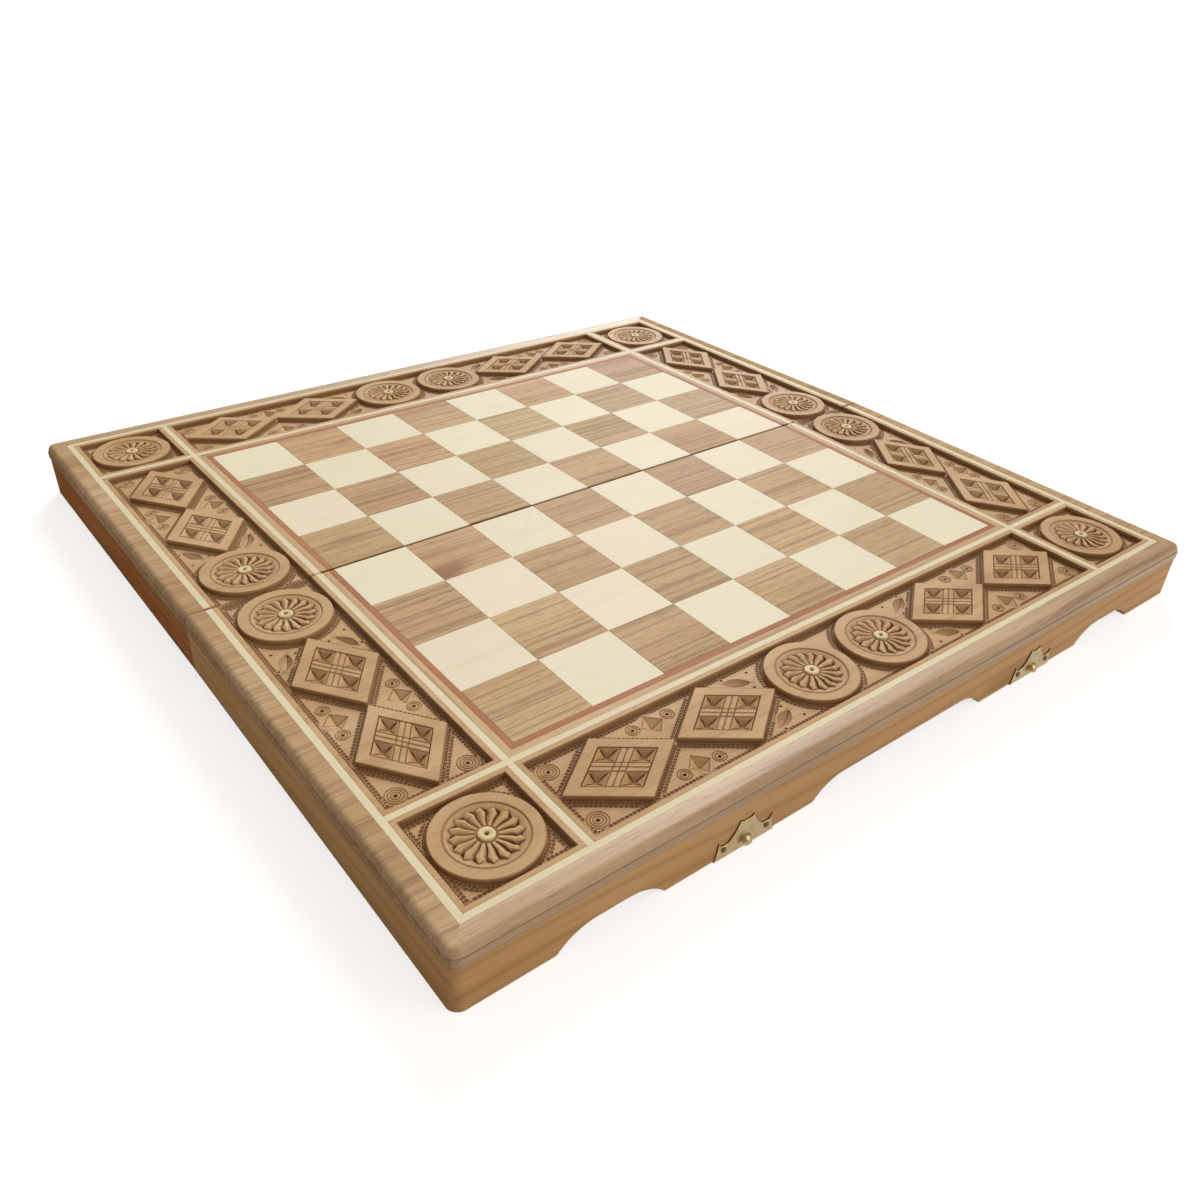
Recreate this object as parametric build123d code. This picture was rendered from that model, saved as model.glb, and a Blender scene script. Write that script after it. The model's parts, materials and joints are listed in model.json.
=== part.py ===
"""Folding chess case, opened flat: two hinged trays whose backs make the playing board.

Each half is drawn in a leaf frame of its own, in millimetres: X along the fold, Y outward
from the fold, Z up from the plane of the tray's rim. The near half is the same drawing
turned round. place() then lays both halves down as the open case stands on a table: the
hinge barrels carry the fold, so each half slopes a little towards its outer edge.
"""
from build123d import *
import math
import os

# Playing field
SQUARE = 42.5
CELLS = 8
TILE_THICKNESS = 3.0

# Bands round the field, listed from the field outward
RED_BAND = 3.3
WALNUT_BAND = 3.7
INLAY = 3.4
PANEL_MARGIN = 2.6
CARVED_WIDTH = 50.2
MOULDING = 10.8

# Heights and walls
WALL_HEIGHT = 25.0
TOP_THICKNESS = 8.0
LINING_THICKNESS = 3.0
WALL = 10.0
WALL_SETBACK = 0.5
CORNER_RADIUS = 6.0
FOLD_GAP = 0.1

# Edge moulding: an upright band, a small step, then a rounded crown
BAND_HEIGHT = 4.0
CROWN_STEP = 0.6
CROWN_RADIUS = 3.6

# Scalloped rim of the long wall
RECESS_HEIGHT = 9.0
RECESS_RUN = 19.4
CENTRE_RECESS = 124.6
SIDE_RECESS = 54.0
SIDE_RECESS_AT = 177.0

# Relief carving: what stands up from the ground of each panel
CARVING_DEPTH = 2.8
ROSETTE_AT = 25.3
LOZENGES_AT = (80.3, 142.2)
ROSETTE_RADIUS = 23.1
PETALS = 16
PETAL_TIP = 15.3
PETAL_ROOT = 5.0
PETAL_NOTCH = 1.9
PETAL_SWIRL = 24.0
BEAD_RADIUS = 3.7
BEAD_SEAT = 1.8
BEAD_PROUD = 0.7
BEAD_HOLE = 0.85
BEAD_SIDES = 12
LOZENGE_LENGTH = 60.6
LOZENGE_WIDTH = 44.2
LOZENGE_FIELD = 0.70
LOZENGE_BAR = 0.15
LOZENGE_CHIP = 2.2
DIAMOND_ACROSS = 15.8
DIAMOND_HALF = 6.2
LEAF_AT = 59.5
LEAF_ACROSS = 15.6
LEAF_LONG = 7.2
LEAF_WIDE = 3.6
LEAF_TURN = 28.0
GROUND_CHIP = 1.7

# Butt hinges on the fold
HINGE_AT = 150.0
HINGE_LENGTH = 45.0
KNUCKLES = 3
KNUCKLE_GAP = 0.2
BARREL_RADIUS = 3.0
BARREL_CLEARANCE = 0.3
BARREL_SIDES = 16
HINGE_PIN_RADIUS = 1.5
PIN_CLEARANCE = 0.05
LEAF_THICKNESS = 1.2
LEAF_END = 9.2
HINGE_FIT = 0.1
SCREW_AT = 14.0
SCREW_HEAD_RADIUS = 1.9
SCREW_RADIUS = 1.0
SCREW_LENGTH = 12.0
SCREW_TIP = 1.6
HARDWARE_SIDES = 8

# Clasps on the long walls
CLASP_AT = 106.0
PLATE_WIDTH = 35.2
PLATE_HEIGHT = 16.8
PLATE_THICKNESS = 0.8
CATCH_RADIUS = 4.2
CATCH_SUNK = 1.1
CATCH_RISE = 3.2
CATCH_LATITUDES = (8, 30, 52, 76)
NAIL_AT = 12.6
NAIL_RISE = 5.0
NAIL_RADIUS = 0.6
NAIL_HEAD_RADIUS = 1.5
NAIL_HEAD_HEIGHT = 0.9
NAIL_LENGTH = 5.5
NAIL_TIP = 1.0
NAIL_SIDES = 4
PIVOT_RISE = 2.2
PIVOT_OUT = 2.2
HASP_KNUCKLE_RADIUS = 1.6
HASP_KNUCKLE = 8.2
HASP_KNUCKLE_GAP = 0.1
HASP_PIN_RADIUS = 0.6
FLAP_WIDTH = 14.4
FLAP_LENGTH = 18.6
FLAP_THICKNESS = 0.8
FLAP_BACK = 0.2
FLAP_GAP = 0.35
FLAP_WINDOW = 9.4
WINDOW_START = 4.7
WINDOW_END = 10.1

# Places that follow from the sizes above
CUT = 1.0
FOLD = FOLD_GAP / 2
FIELD = SQUARE * CELLS / 2
RED_OUT = FIELD + RED_BAND
BANDS_OUT = RED_OUT + WALNUT_BAND
PANEL_IN = BANDS_OUT + INLAY
PANEL_WIDTH = CARVED_WIDTH + 2 * PANEL_MARGIN
PANEL_OUT = PANEL_IN + PANEL_WIDTH
ROW = (PANEL_IN + PANEL_OUT) / 2
MOULDING_IN = PANEL_OUT + INLAY
OUTER = MOULDING_IN + MOULDING
WALL_OUT = OUTER - WALL_SETBACK
WALL_IN = WALL_OUT - WALL
CASE_HEIGHT = WALL_HEIGHT + TOP_THICKNESS
GROUND = TOP_THICKNESS - CARVING_DEPTH
LEAF_START = BARREL_RADIUS + BARREL_CLEARANCE
SLOPE = math.degrees(math.asin(BARREL_RADIUS / WALL_OUT))
FLAP_START = HASP_KNUCKLE_RADIUS + FLAP_GAP
FLAP_PLACE = PLATE_THICKNESS + FLAP_BACK - PIVOT_OUT
TILE_FOOT = CASE_HEIGHT - TILE_THICKNESS
BOTTOM = (Align.CENTER, Align.CENTER, Align.MIN)


# Shared shapes

def block(x0, x1, y0, y1, z0, z1):
    """Box between two corners."""
    corner = (Align.MIN, Align.MIN, Align.MIN)
    return Pos(x0, y0, z0) * Box(x1 - x0, y1 - y0, z1 - z0, align=corner)


def half_frame(outer, inner, z0, z1):
    """Three-sided frame, open at the fold."""
    window = block(-inner, inner, FOLD - CUT, inner, z0 - CUT, z1 + CUT)
    return block(-outer, outer, FOLD, outer, z0, z1) - window


def rounded_slab(reach, radius, z0, z1):
    """Slab of one half whose two outer corners are rounded."""
    slab = block(-reach, reach, FOLD, reach, z0, z1)
    outer_corners = slab.edges().filter_by(Axis.Z).group_by(Axis.Y)[-1]
    return fillet(outer_corners, radius)


def upright(outline, reach):
    """Prism of an outline drawn as (x, z), running along Y from -reach to reach."""
    return Rot(90, 0, 0) * extrude(make_face(outline), amount=reach, both=True)


def turned(stations, sides=HARDWARE_SIDES):
    """Small turned piece on Z, drawn with few sides: (height, radius) pairs, pointed at radius 0."""
    piece = None
    for (z0, r0), (z1, r1) in zip(stations, stations[1:]):
        low = Pos(0, 0, z0) * RegularPolygon(r0, sides) if r0 else Vertex(0, 0, z0)
        high = Pos(0, 0, z1) * RegularPolygon(r1, sides) if r1 else Vertex(0, 0, z1)
        length = loft([low, high], ruled=True)
        piece = length if piece is None else piece + length
    return piece


def along_x(radius, x0, x1, sides=HARDWARE_SIDES):
    """Bar or barrel on the X axis, with one of its few edges straight down."""
    return Rot(0, 90, 0) * turned([(x0, radius), (x1, radius)], sides)


def bore_radius(shaft, sides=HARDWARE_SIDES):
    """Corner radius of a few-sided bore whose flats still clear a turning shaft."""
    return (shaft + PIN_CLEARANCE) / math.cos(math.pi / sides)


def pyramid_notch(corners, floor, lift=CUT):
    """Chip cut: straight facets from a polygon at z = 0 down to one floor point."""
    fx, fy, fz = floor
    grow = (lift - fz) / -fz
    mouth = [Vector(fx + (x - fx) * grow, fy + (y - fy) * grow, lift) for x, y in corners]
    return loft([Face(Wire.make_polygon(mouth, close=True)), Vertex(fx, fy, fz)])


def mitred_lengths(ring, inner):
    """Cut a three-sided ring at its mitres into its left, long and right lengths."""
    far = 2 * inner
    left = Polyline((-far, -CUT), (-inner, -CUT), (-inner, inner), (-far, far), close=True)
    long = Polyline((-inner, inner), (inner, inner), (far, far), (-far, far), close=True)
    masks = [extrude(make_face(outline), amount=far, both=True) for outline in (left, long)]
    masks.append(mirror(masks[0], Plane.YZ))
    return [ring & mask for mask in masks]


# Trays

def recess(centre, width):
    """Scallop cut into the long wall's rim: flat top, ends that curve down to the rim."""
    half = width / 2
    flat = half - RECESS_RUN
    outline = [
        Polyline((-half, 0), (-half, -CUT), (half, -CUT), (half, 0)),
        TangentArc((flat, RECESS_HEIGHT), (half, 0), tangent=(1, 0)),
        Line((flat, RECESS_HEIGHT), (-flat, RECESS_HEIGHT)),
        TangentArc((-flat, RECESS_HEIGHT), (-half, 0), tangent=(-1, 0)),
    ]
    return Pos(centre, 0, 0) * upright(outline, 2 * WALL_OUT)


def tray_walls():
    """Side, long and side walls, mitred at the outer corners, with the scalloped rim."""
    ring = rounded_slab(WALL_OUT, CORNER_RADIUS - WALL_SETBACK, 0, WALL_HEIGHT)
    ring -= block(-WALL_IN, WALL_IN, FOLD - CUT, WALL_IN, -CUT, WALL_HEIGHT + CUT)
    left, long, right = mitred_lengths(ring, WALL_IN)
    long -= recess(0, CENTRE_RECESS)
    for side in (-1, 1):
        long -= recess(side * SIDE_RECESS_AT, SIDE_RECESS)
    return left, long, right


def spine_wall():
    """Wall along the fold, let out for the hinge leaves, barrels and screws."""
    wall = block(-WALL_IN, WALL_IN, FOLD, WALL, 0, WALL_HEIGHT)
    end = HINGE_LENGTH / 2 + HINGE_FIT
    for side in (-1, 1):
        here = Pos(side * HINGE_AT, 0, 0)
        groove = Rot(0, 90, 0) * Cylinder(BARREL_RADIUS + BARREL_CLEARANCE, 2 * end)
        wall -= here * groove
        wall -= here * block(-end, end, 0, LEAF_END + HINGE_FIT, -CUT, LEAF_THICKNESS)
        radius = SCREW_RADIUS + PIN_CLEARANCE
        for x, y in screw_places():
            wall -= here * Pos(x, y, 0) * turned([(0, radius), (SCREW_LENGTH + HINGE_FIT, radius)])
    return wall


def lining_board():
    """Thin board that closes the tray and backs the pieces of the top."""
    return block(-WALL_IN, WALL_IN, WALL, WALL_IN, WALL_HEIGHT - LINING_THICKNESS, WALL_HEIGHT)


# Top of the board

def field_board():
    """Board under the squares and the two plain bands."""
    return block(-BANDS_OUT, BANDS_OUT, FOLD, BANDS_OUT, WALL_HEIGHT, TILE_FOOT)


def squares(parity):
    """Every second square of one half: parity 0 gives the dark ones, 1 the light ones."""
    tiles = []
    for row in range(CELLS // 2):
        for column in range(CELLS):
            if (row + column) % 2 != parity:
                continue
            x = column * SQUARE - FIELD
            y = row * SQUARE
            tiles.append(block(x, x + SQUARE, max(y, FOLD), y + SQUARE, TILE_FOOT, CASE_HEIGHT))
    return tiles


def inner_inlay():
    """Pale strips round the field that run on to the outer strip and part the panels."""
    strips = block(-PANEL_OUT, PANEL_OUT, BANDS_OUT, PANEL_IN, WALL_HEIGHT, CASE_HEIGHT)
    for x in (-PANEL_IN, BANDS_OUT):
        strips += block(x, x + INLAY, FOLD, PANEL_OUT, WALL_HEIGHT, CASE_HEIGHT)
    return strips


def edge_moulding():
    """Outer frame of the top: upright band, small step, rounded crown."""
    crown_base = WALL_HEIGHT + BAND_HEIGHT
    crown = rounded_slab(OUTER - CROWN_STEP, CORNER_RADIUS - CROWN_STEP, crown_base, CASE_HEIGHT)
    top_edges = crown.faces().sort_by(Axis.Z)[-1].edges()
    crown = fillet(top_edges.filter_by(lambda edge: edge.center().Y > FOLD + CUT), CROWN_RADIUS)
    band = rounded_slab(OUTER, CORNER_RADIUS, WALL_HEIGHT, crown_base)
    window = block(-MOULDING_IN, MOULDING_IN, FOLD - CUT, MOULDING_IN, 0, CASE_HEIGHT + CUT)
    return mitred_lengths(crown + band - window, MOULDING_IN)


# Carving, drawn on a ground at z = 0

def rosette():
    """Raised disc, its edge pared in flats, with swirling petals parted by three-facet chips."""
    disc = turned([(0, ROSETTE_RADIUS), (CARVING_DEPTH, ROSETTE_RADIUS)], 2 * PETALS)
    half_step = 180.0 / PETALS
    tip = Vector(PETAL_TIP, 0).rotate(Axis.Z, half_step)
    back = Vector(PETAL_TIP - PETAL_NOTCH, 0).rotate(Axis.Z, -half_step)
    root = Vector(PETAL_ROOT, 0).rotate(Axis.Z, -PETAL_SWIRL)
    deepest = (tip + back) / 2 - Vector(PETAL_NOTCH / 2, 0)
    corners = [(point.X, point.Y) for point in (tip, back, root)]
    chip = pyramid_notch(corners, (deepest.X, deepest.Y, -PETAL_NOTCH))
    cuts = [Rot(0, 0, 2 * half_step * k) * chip for k in range(PETALS)]
    cuts.append(turned([(-BEAD_SEAT, BEAD_RADIUS), (CUT, BEAD_RADIUS)], BEAD_SIDES))
    return disc - [Pos(0, 0, CARVING_DEPTH) * cut for cut in cuts]


def bead():
    """Pale turned bead in the rosette's middle, seated with its foot at z = 0."""
    top = BEAD_SEAT + BEAD_PROUD
    body = turned([(0, BEAD_RADIUS), (BEAD_SEAT, BEAD_RADIUS), (top, BEAD_RADIUS - BEAD_PROUD)], BEAD_SIDES)
    return body - turned([(BEAD_PROUD, BEAD_HOLE), (top + CUT, BEAD_HOLE)], HARDWARE_SIDES)


def lozenge():
    """Raised lozenge: a plain border, a crossed bar and a four-facet chip in each quarter."""
    def spot(s, t):
        return LOZENGE_LENGTH / 4 * (s + t), LOZENGE_WIDTH / 4 * (s - t)

    body = extrude(make_face(Polyline(spot(1, 1), spot(1, -1), spot(-1, -1), spot(-1, 1), close=True)),
                   amount=CARVING_DEPTH)
    near, far = LOZENGE_BAR, LOZENGE_FIELD
    middle = (near + far) / 2
    cuts = []
    for s in (-1, 1):
        for t in (-1, 1):
            quarter = [spot(s * a, t * b) for a, b in ((near, near), (far, near), (far, far), (near, far))]
            chip = pyramid_notch(quarter, (*spot(s * middle, t * middle), -LOZENGE_CHIP))
            cuts.append(Pos(0, 0, CARVING_DEPTH) * chip)
    return body - cuts


def ground_chip(long, wide, turn=0.0):
    """Four-facet chip in the ground between the raised motifs."""
    corners = [(long, 0), (0, wide), (-long, 0), (0, -wide)]
    return Rot(0, 0, turn) * pyramid_notch(corners, (0, 0, -GROUND_CHIP))


def row_motifs(side):
    """Raised motifs and ground chips of one row, from its middle to the end on one side."""
    raised = [Pos(side * ROSETTE_AT, 0, 0) * rosette()]
    raised += [Pos(side * x, 0, 0) * lozenge() for x in LOZENGES_AT]
    chips = []
    between = sum(LOZENGES_AT) / 2
    for across in (-1, 1):
        place = Pos(side * between, across * DIAMOND_ACROSS, 0)
        chips.append(place * ground_chip(DIAMOND_HALF, DIAMOND_HALF))
        place = Pos(side * LEAF_AT, across * LEAF_ACROSS, 0)
        chips.append(place * ground_chip(LEAF_LONG, LEAF_WIDE, side * across * LEAF_TURN))
    return raised, chips


def carved_panel(start, end, raised, chips, open_start=False):
    """Panel of a row: flat margins, sunk ground, raised motifs. X runs along the row."""
    half = PANEL_WIDTH / 2
    sunk_start = start - CUT if open_start else start + PANEL_MARGIN
    sunk_half = CARVED_WIDTH / 2
    panel = block(start, end, -half, half, 0, TOP_THICKNESS)
    panel -= block(sunk_start, end - PANEL_MARGIN, -sunk_half, sunk_half, GROUND, TOP_THICKNESS + CUT)
    at_ground = Pos(0, 0, GROUND)
    panel += [at_ground * motif for motif in raised]
    if chips:
        panel -= [at_ground * chip for chip in chips]
    return panel


def long_panel():
    """Whole row along the long wall."""
    left_raised, left_chips = row_motifs(-1)
    right_raised, right_chips = row_motifs(1)
    panel = carved_panel(-BANDS_OUT, BANDS_OUT, left_raised + right_raised, left_chips + right_chips)
    return Pos(0, ROW, WALL_HEIGHT) * panel


def side_panel(side):
    """Half of the row along a side: the fold cuts it through the middle."""
    raised, chips = row_motifs(1)
    panel = carved_panel(FOLD, BANDS_OUT, raised, chips, open_start=True)
    return Pos(side * ROW, 0, WALL_HEIGHT) * Rot(0, 0, 90) * panel


def corner_panel(side):
    """Square corner panel with one rosette."""
    half = PANEL_WIDTH / 2
    return Pos(side * ROW, ROW, WALL_HEIGHT) * carved_panel(-half, half, [rosette()], [])


def beads():
    """Beads of the six rosettes on one half."""
    seat = CASE_HEIGHT - BEAD_SEAT
    places = []
    for side in (-1, 1):
        places += [(side * ROSETTE_AT, ROW), (side * ROW, ROSETTE_AT), (side * ROW, ROW)]
    return [Pos(x, y, seat) * bead() for x, y in places]


# Hinges on the fold: the barrel's axis lies in the rim plane

def screw_places():
    """Screw centres on a hinge leaf, measured from the hinge's middle."""
    y = (LEAF_START + LEAF_END) / 2
    return [(side * SCREW_AT, y) for side in (-1, 1)]


def hinge_leaf(first):
    """Leaf let into the spine wall's rim, with every second knuckle from number first."""
    end = HINGE_LENGTH / 2
    leaf = block(-end, end, LEAF_START, LEAF_END, 0, LEAF_THICKNESS)
    pitch = HINGE_LENGTH / KNUCKLES
    for k in range(first, KNUCKLES, 2):
        x0 = k * pitch - end + KNUCKLE_GAP / 2
        x1 = x0 + pitch - KNUCKLE_GAP
        leaf += block(x0, x1, 0, LEAF_START, 0, LEAF_THICKNESS)
        leaf += along_x(BARREL_RADIUS, x0, x1, BARREL_SIDES)
    leaf -= along_x(bore_radius(HINGE_PIN_RADIUS, BARREL_SIDES), -end - CUT, end + CUT, BARREL_SIDES)
    for x, y in screw_places():
        leaf -= Pos(x, y, 0) * screw(PIN_CLEARANCE)
    return leaf


def screw(clearance=0.0):
    """Countersunk screw, its head flush with the rim plane, or the hole that clears it."""
    head = SCREW_HEAD_RADIUS + clearance
    shank = SCREW_RADIUS + clearance
    return turned([(0, head), (head - shank, shank), (SCREW_LENGTH - SCREW_TIP, shank), (SCREW_LENGTH, 0)])


def at_hinges(piece):
    """Copies of a piece at both hinges."""
    return [Pos(side * HINGE_AT, 0, 0) * piece for side in (-1, 1)]


def hinge_screws():
    """Two screws in each leaf of one half."""
    one = [Pos(x, y, 0) * screw() for x, y in screw_places()]
    return [piece for item in one for piece in at_hinges(item)]


# Clasps, drawn on the long wall's outer face: X along the wall, Y up, Z outward

def on_wall(piece):
    """Copies of a piece at both clasps on the long wall."""
    face = Plane(origin=(0, WALL_OUT, 0), x_dir=(-1, 0, 0), z_dir=(0, 1, 0))
    return [Pos(side * CLASP_AT, 0, 0) * face.location * piece for side in (-1, 1)]


def crown_plate():
    """Plate with a flat lower edge, two side horns and a notched, two-horned crown."""
    half = PLATE_WIDTH / 2
    top = PLATE_HEIGHT
    side_horn = (0.89 * half, 0.60 * top)
    shoulder = (0.52 * half, 0.51 * top)
    outline = [
        Line((0, 0), (half, 0)),
        ThreePointArc((half, 0), (0.92 * half, 0.30 * top), side_horn),
        ThreePointArc(side_horn, (0.72 * half, 0.44 * top), shoulder),
        ThreePointArc(shoulder, (0.36 * half, 0.70 * top), (0.28 * half, top)),
        ThreePointArc((0.28 * half, top), (0.14 * half, 0.91 * top), (0, 0.89 * top)),
    ]
    plate = extrude(make_face(outline + [mirror(edge, Plane.YZ) for edge in outline]), amount=PLATE_THICKNESS)
    for side in (-1, 1):
        plate -= Pos(side * NAIL_AT, NAIL_RISE, 0) * nail_hole()
    return plate


def catch_plate():
    """Crown plate with the stamped half dome that the hasp's window drops over."""
    middle = PLATE_THICKNESS - CATCH_SUNK
    latitudes = [math.radians(angle) for angle in CATCH_LATITUDES]
    rings = [(middle + CATCH_RADIUS * math.sin(a), CATCH_RADIUS * math.cos(a)) for a in latitudes]
    dome = Pos(0, CATCH_RISE, 0) * turned(rings, BARREL_SIDES)
    reach = 2 * CATCH_RADIUS
    dome &= block(-reach, reach, CATCH_RISE, CATCH_RISE + reach, 0, reach)
    return crown_plate() + dome


def hasp_bar(radius, x0, x1):
    """Slim bar on the hasp's pivot."""
    return Pos(0, PIVOT_RISE, PIVOT_OUT) * along_x(radius, x0, x1)


def hasp_plate():
    """Crown plate that carries the hasp's two outer knuckles at its lower edge."""
    inner = HASP_KNUCKLE / 2 + HASP_KNUCKLE_GAP
    outer = FLAP_WIDTH / 2
    plate = crown_plate()
    plate -= block(-inner, inner, -CUT, PIVOT_RISE + FLAP_START, -CUT, PLATE_THICKNESS + CUT)
    for x0, x1 in ((-outer, -inner), (inner, outer)):
        plate += hasp_bar(HASP_KNUCKLE_RADIUS, x0, x1)
    return plate - hasp_bar(bore_radius(HASP_PIN_RADIUS), -2 * outer, 2 * outer)


def hasp_flap():
    """Hasp folded up against its plate: middle knuckle, windowed flap and rounded end."""
    half = FLAP_WIDTH / 2
    knuckle = HASP_KNUCKLE / 2
    shoulder = FLAP_LENGTH - half
    outline = Rectangle(FLAP_WIDTH, shoulder - FLAP_START, align=(Align.CENTER, Align.MIN))
    flap = extrude(Pos(0, FLAP_START) * outline, amount=FLAP_THICKNESS)
    flap += Pos(0, shoulder, 0) * Cylinder(half, FLAP_THICKNESS, align=BOTTOM)
    flap += block(-knuckle, knuckle, 0, FLAP_START + CUT, 0, FLAP_THICKNESS)
    window_half = FLAP_WINDOW / 2
    flap -= block(-window_half, window_half, WINDOW_START, WINDOW_END, -CUT, FLAP_THICKNESS + CUT)
    flap = Pos(0, PIVOT_RISE, PIVOT_OUT + FLAP_PLACE) * flap
    flap += hasp_bar(HASP_KNUCKLE_RADIUS, -knuckle, knuckle)
    return flap - hasp_bar(bore_radius(HASP_PIN_RADIUS), -half, half)


def nail():
    """Dome-headed tack through a plate into the wall."""
    head = PLATE_THICKNESS
    dome = turned([(head, NAIL_HEAD_RADIUS), (head + 0.6 * NAIL_HEAD_HEIGHT, 0.8 * NAIL_HEAD_RADIUS),
                   (head + NAIL_HEAD_HEIGHT, 0.4 * NAIL_HEAD_RADIUS)])
    shank = [(-NAIL_LENGTH, 0), (NAIL_TIP - NAIL_LENGTH, NAIL_RADIUS), (head, NAIL_RADIUS)]
    return dome + turned(shank, NAIL_SIDES)


def nail_hole():
    """Hole that clears a tack's shank, from its tip to past the plate."""
    radius = NAIL_RADIUS + PIN_CLEARANCE
    return turned([(-NAIL_LENGTH, radius), (PLATE_THICKNESS + CUT, radius)], NAIL_SIDES)


def nailed(piece):
    """Copies of a tack, or of its hole, at the four tack places of one wall."""
    return [copy for side in (-1, 1) for copy in on_wall(Pos(side * NAIL_AT, NAIL_RISE, 0) * piece)]


# The standing case

def place(piece, half):
    """Lay a piece from its leaf frame down where the open case has it."""
    if half == "far":
        return Pos(0, 0, BARREL_RADIUS) * Rot(-SLOPE, 0, 0) * piece
    return Pos(0, 0, BARREL_RADIUS) * Rot(SLOPE, 0, 0) * Rot(0, 0, 180) * piece


def export(name, pieces, half):
    """Write one node: a solid, or a group of separate solids."""
    solids = pieces if isinstance(pieces, list) else [pieces]
    placed = [place(piece, half) for piece in solids]
    shape = placed[0] if len(placed) == 1 else Compound(children=placed)
    export_step(shape, os.path.join("parts", name + ".step"))


def export_half(half):
    """Write the wooden pieces and the fittings that both halves have."""
    low, high = ("left", "right") if half == "far" else ("right", "left")
    left_wall, long_wall, right_wall = tray_walls()
    long_wall -= nailed(nail_hole())
    left_moulding, long_moulding, right_moulding = edge_moulding()
    export(half + "_long_wall", long_wall, half)
    export(half + "_" + low + "_wall", left_wall, half)
    export(half + "_" + high + "_wall", right_wall, half)
    export(half + "_spine_wall", spine_wall(), half)
    export(half + "_lining_board", lining_board(), half)
    export(half + "_field_board", field_board(), half)
    export(half + "_dark_squares", squares(0), half)
    export(half + "_light_squares", squares(1), half)
    export(half + "_red_band", half_frame(RED_OUT, FIELD, TILE_FOOT, CASE_HEIGHT), half)
    export(half + "_walnut_band", half_frame(BANDS_OUT, RED_OUT, TILE_FOOT, CASE_HEIGHT), half)
    export(half + "_inner_inlay", inner_inlay(), half)
    export(half + "_outer_inlay", half_frame(MOULDING_IN, PANEL_OUT, WALL_HEIGHT, CASE_HEIGHT), half)
    export(half + "_long_panel", long_panel(), half)
    for word, side in ((low, -1), (high, 1)):
        export(half + "_" + word + "_panel", side_panel(side), half)
        export(half + "_" + word + "_corner_panel", corner_panel(side), half)
    export(half + "_rosette_beads", beads(), half)
    export(half + "_long_moulding", long_moulding, half)
    export(half + "_" + low + "_moulding", left_moulding, half)
    export(half + "_" + high + "_moulding", right_moulding, half)
    export(half + "_hinge_screws", hinge_screws(), half)


def main():
    os.makedirs("parts", exist_ok=True)
    for half in ("near", "far"):
        export_half(half)
    end = HINGE_LENGTH / 2
    export("far_hinge_leaves", at_hinges(hinge_leaf(0)), "far")
    export("near_hinge_leaves", at_hinges(hinge_leaf(1)), "near")
    export("hinge_pins", at_hinges(along_x(HINGE_PIN_RADIUS, -end, end, BARREL_SIDES)), "far")
    export("catch_plates", on_wall(catch_plate()), "near")
    export("catch_nails", nailed(nail()), "near")
    export("hasp_plates", on_wall(hasp_plate()), "far")
    export("hasp_nails", nailed(nail()), "far")
    flap_half = FLAP_WIDTH / 2
    export("hasp_pins", on_wall(hasp_bar(HASP_PIN_RADIUS, -flap_half, flap_half)), "far")
    left_flap, right_flap = on_wall(hasp_flap())
    export("left_hasp", left_flap, "far")
    export("right_hasp", right_flap, "far")


main()
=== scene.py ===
"""Folding chess case, opened flat as a board: finish, carving and fittings.

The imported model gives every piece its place. Wood that only needs a finish keeps its node;
carved, bevelled and turned work is built here in each half's leaf frame (millimetres, X along
the fold, Y outward, Z up from the rim) and laid down as the hinge has it.
"""

import bpy
import bmesh
import json
import random
from math import asin, atan2, cos, degrees, hypot, pi, radians, sin, sqrt
from mathutils import Matrix, Vector
from mathutils.geometry import delaunay_2d_cdt


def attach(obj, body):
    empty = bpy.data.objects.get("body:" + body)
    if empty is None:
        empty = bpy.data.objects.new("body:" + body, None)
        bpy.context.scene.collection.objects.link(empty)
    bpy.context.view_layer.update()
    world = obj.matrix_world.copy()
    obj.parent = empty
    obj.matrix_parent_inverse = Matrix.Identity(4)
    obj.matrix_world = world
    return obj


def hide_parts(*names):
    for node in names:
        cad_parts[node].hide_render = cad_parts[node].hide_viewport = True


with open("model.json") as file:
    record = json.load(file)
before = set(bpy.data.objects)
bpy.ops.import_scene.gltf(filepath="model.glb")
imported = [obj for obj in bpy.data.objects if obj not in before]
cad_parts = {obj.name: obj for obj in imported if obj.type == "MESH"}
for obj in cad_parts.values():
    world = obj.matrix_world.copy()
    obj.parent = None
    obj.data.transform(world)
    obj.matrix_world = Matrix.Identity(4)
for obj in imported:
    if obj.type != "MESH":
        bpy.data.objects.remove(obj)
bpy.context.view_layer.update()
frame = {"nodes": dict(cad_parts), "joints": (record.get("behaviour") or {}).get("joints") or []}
nodes = frame["nodes"]
fold_joint = next(joint for joint in frame["joints"] if joint["name"] == "fold")

# Board, millimetres, as the solids have it
MM = 0.001
SQUARE = 42.5
CELLS = 8
TILE_THICKNESS = 3.0
RED_BAND = 3.3
WALNUT_BAND = 3.7
INLAY = 3.4
PANEL_MARGIN = 2.6
CARVED_WIDTH = 50.2
MOULDING = 10.8
WALL_HEIGHT = 25.0
TOP_THICKNESS = 8.0
WALL = 10.0
WALL_SETBACK = 0.5
CORNER_RADIUS = 6.0
FOLD = 0.05
BAND_HEIGHT = 4.0
CROWN_STEP = 0.6
CROWN_RADIUS = 3.6
RECESS_HEIGHT = 9.0
RECESS_RUN = 19.4
CENTRE_RECESS = 124.6
SIDE_RECESS = 54.0
SIDE_RECESS_AT = 177.0
FOLD_ROUNDING = 0.9
JOINT = 0.3

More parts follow.
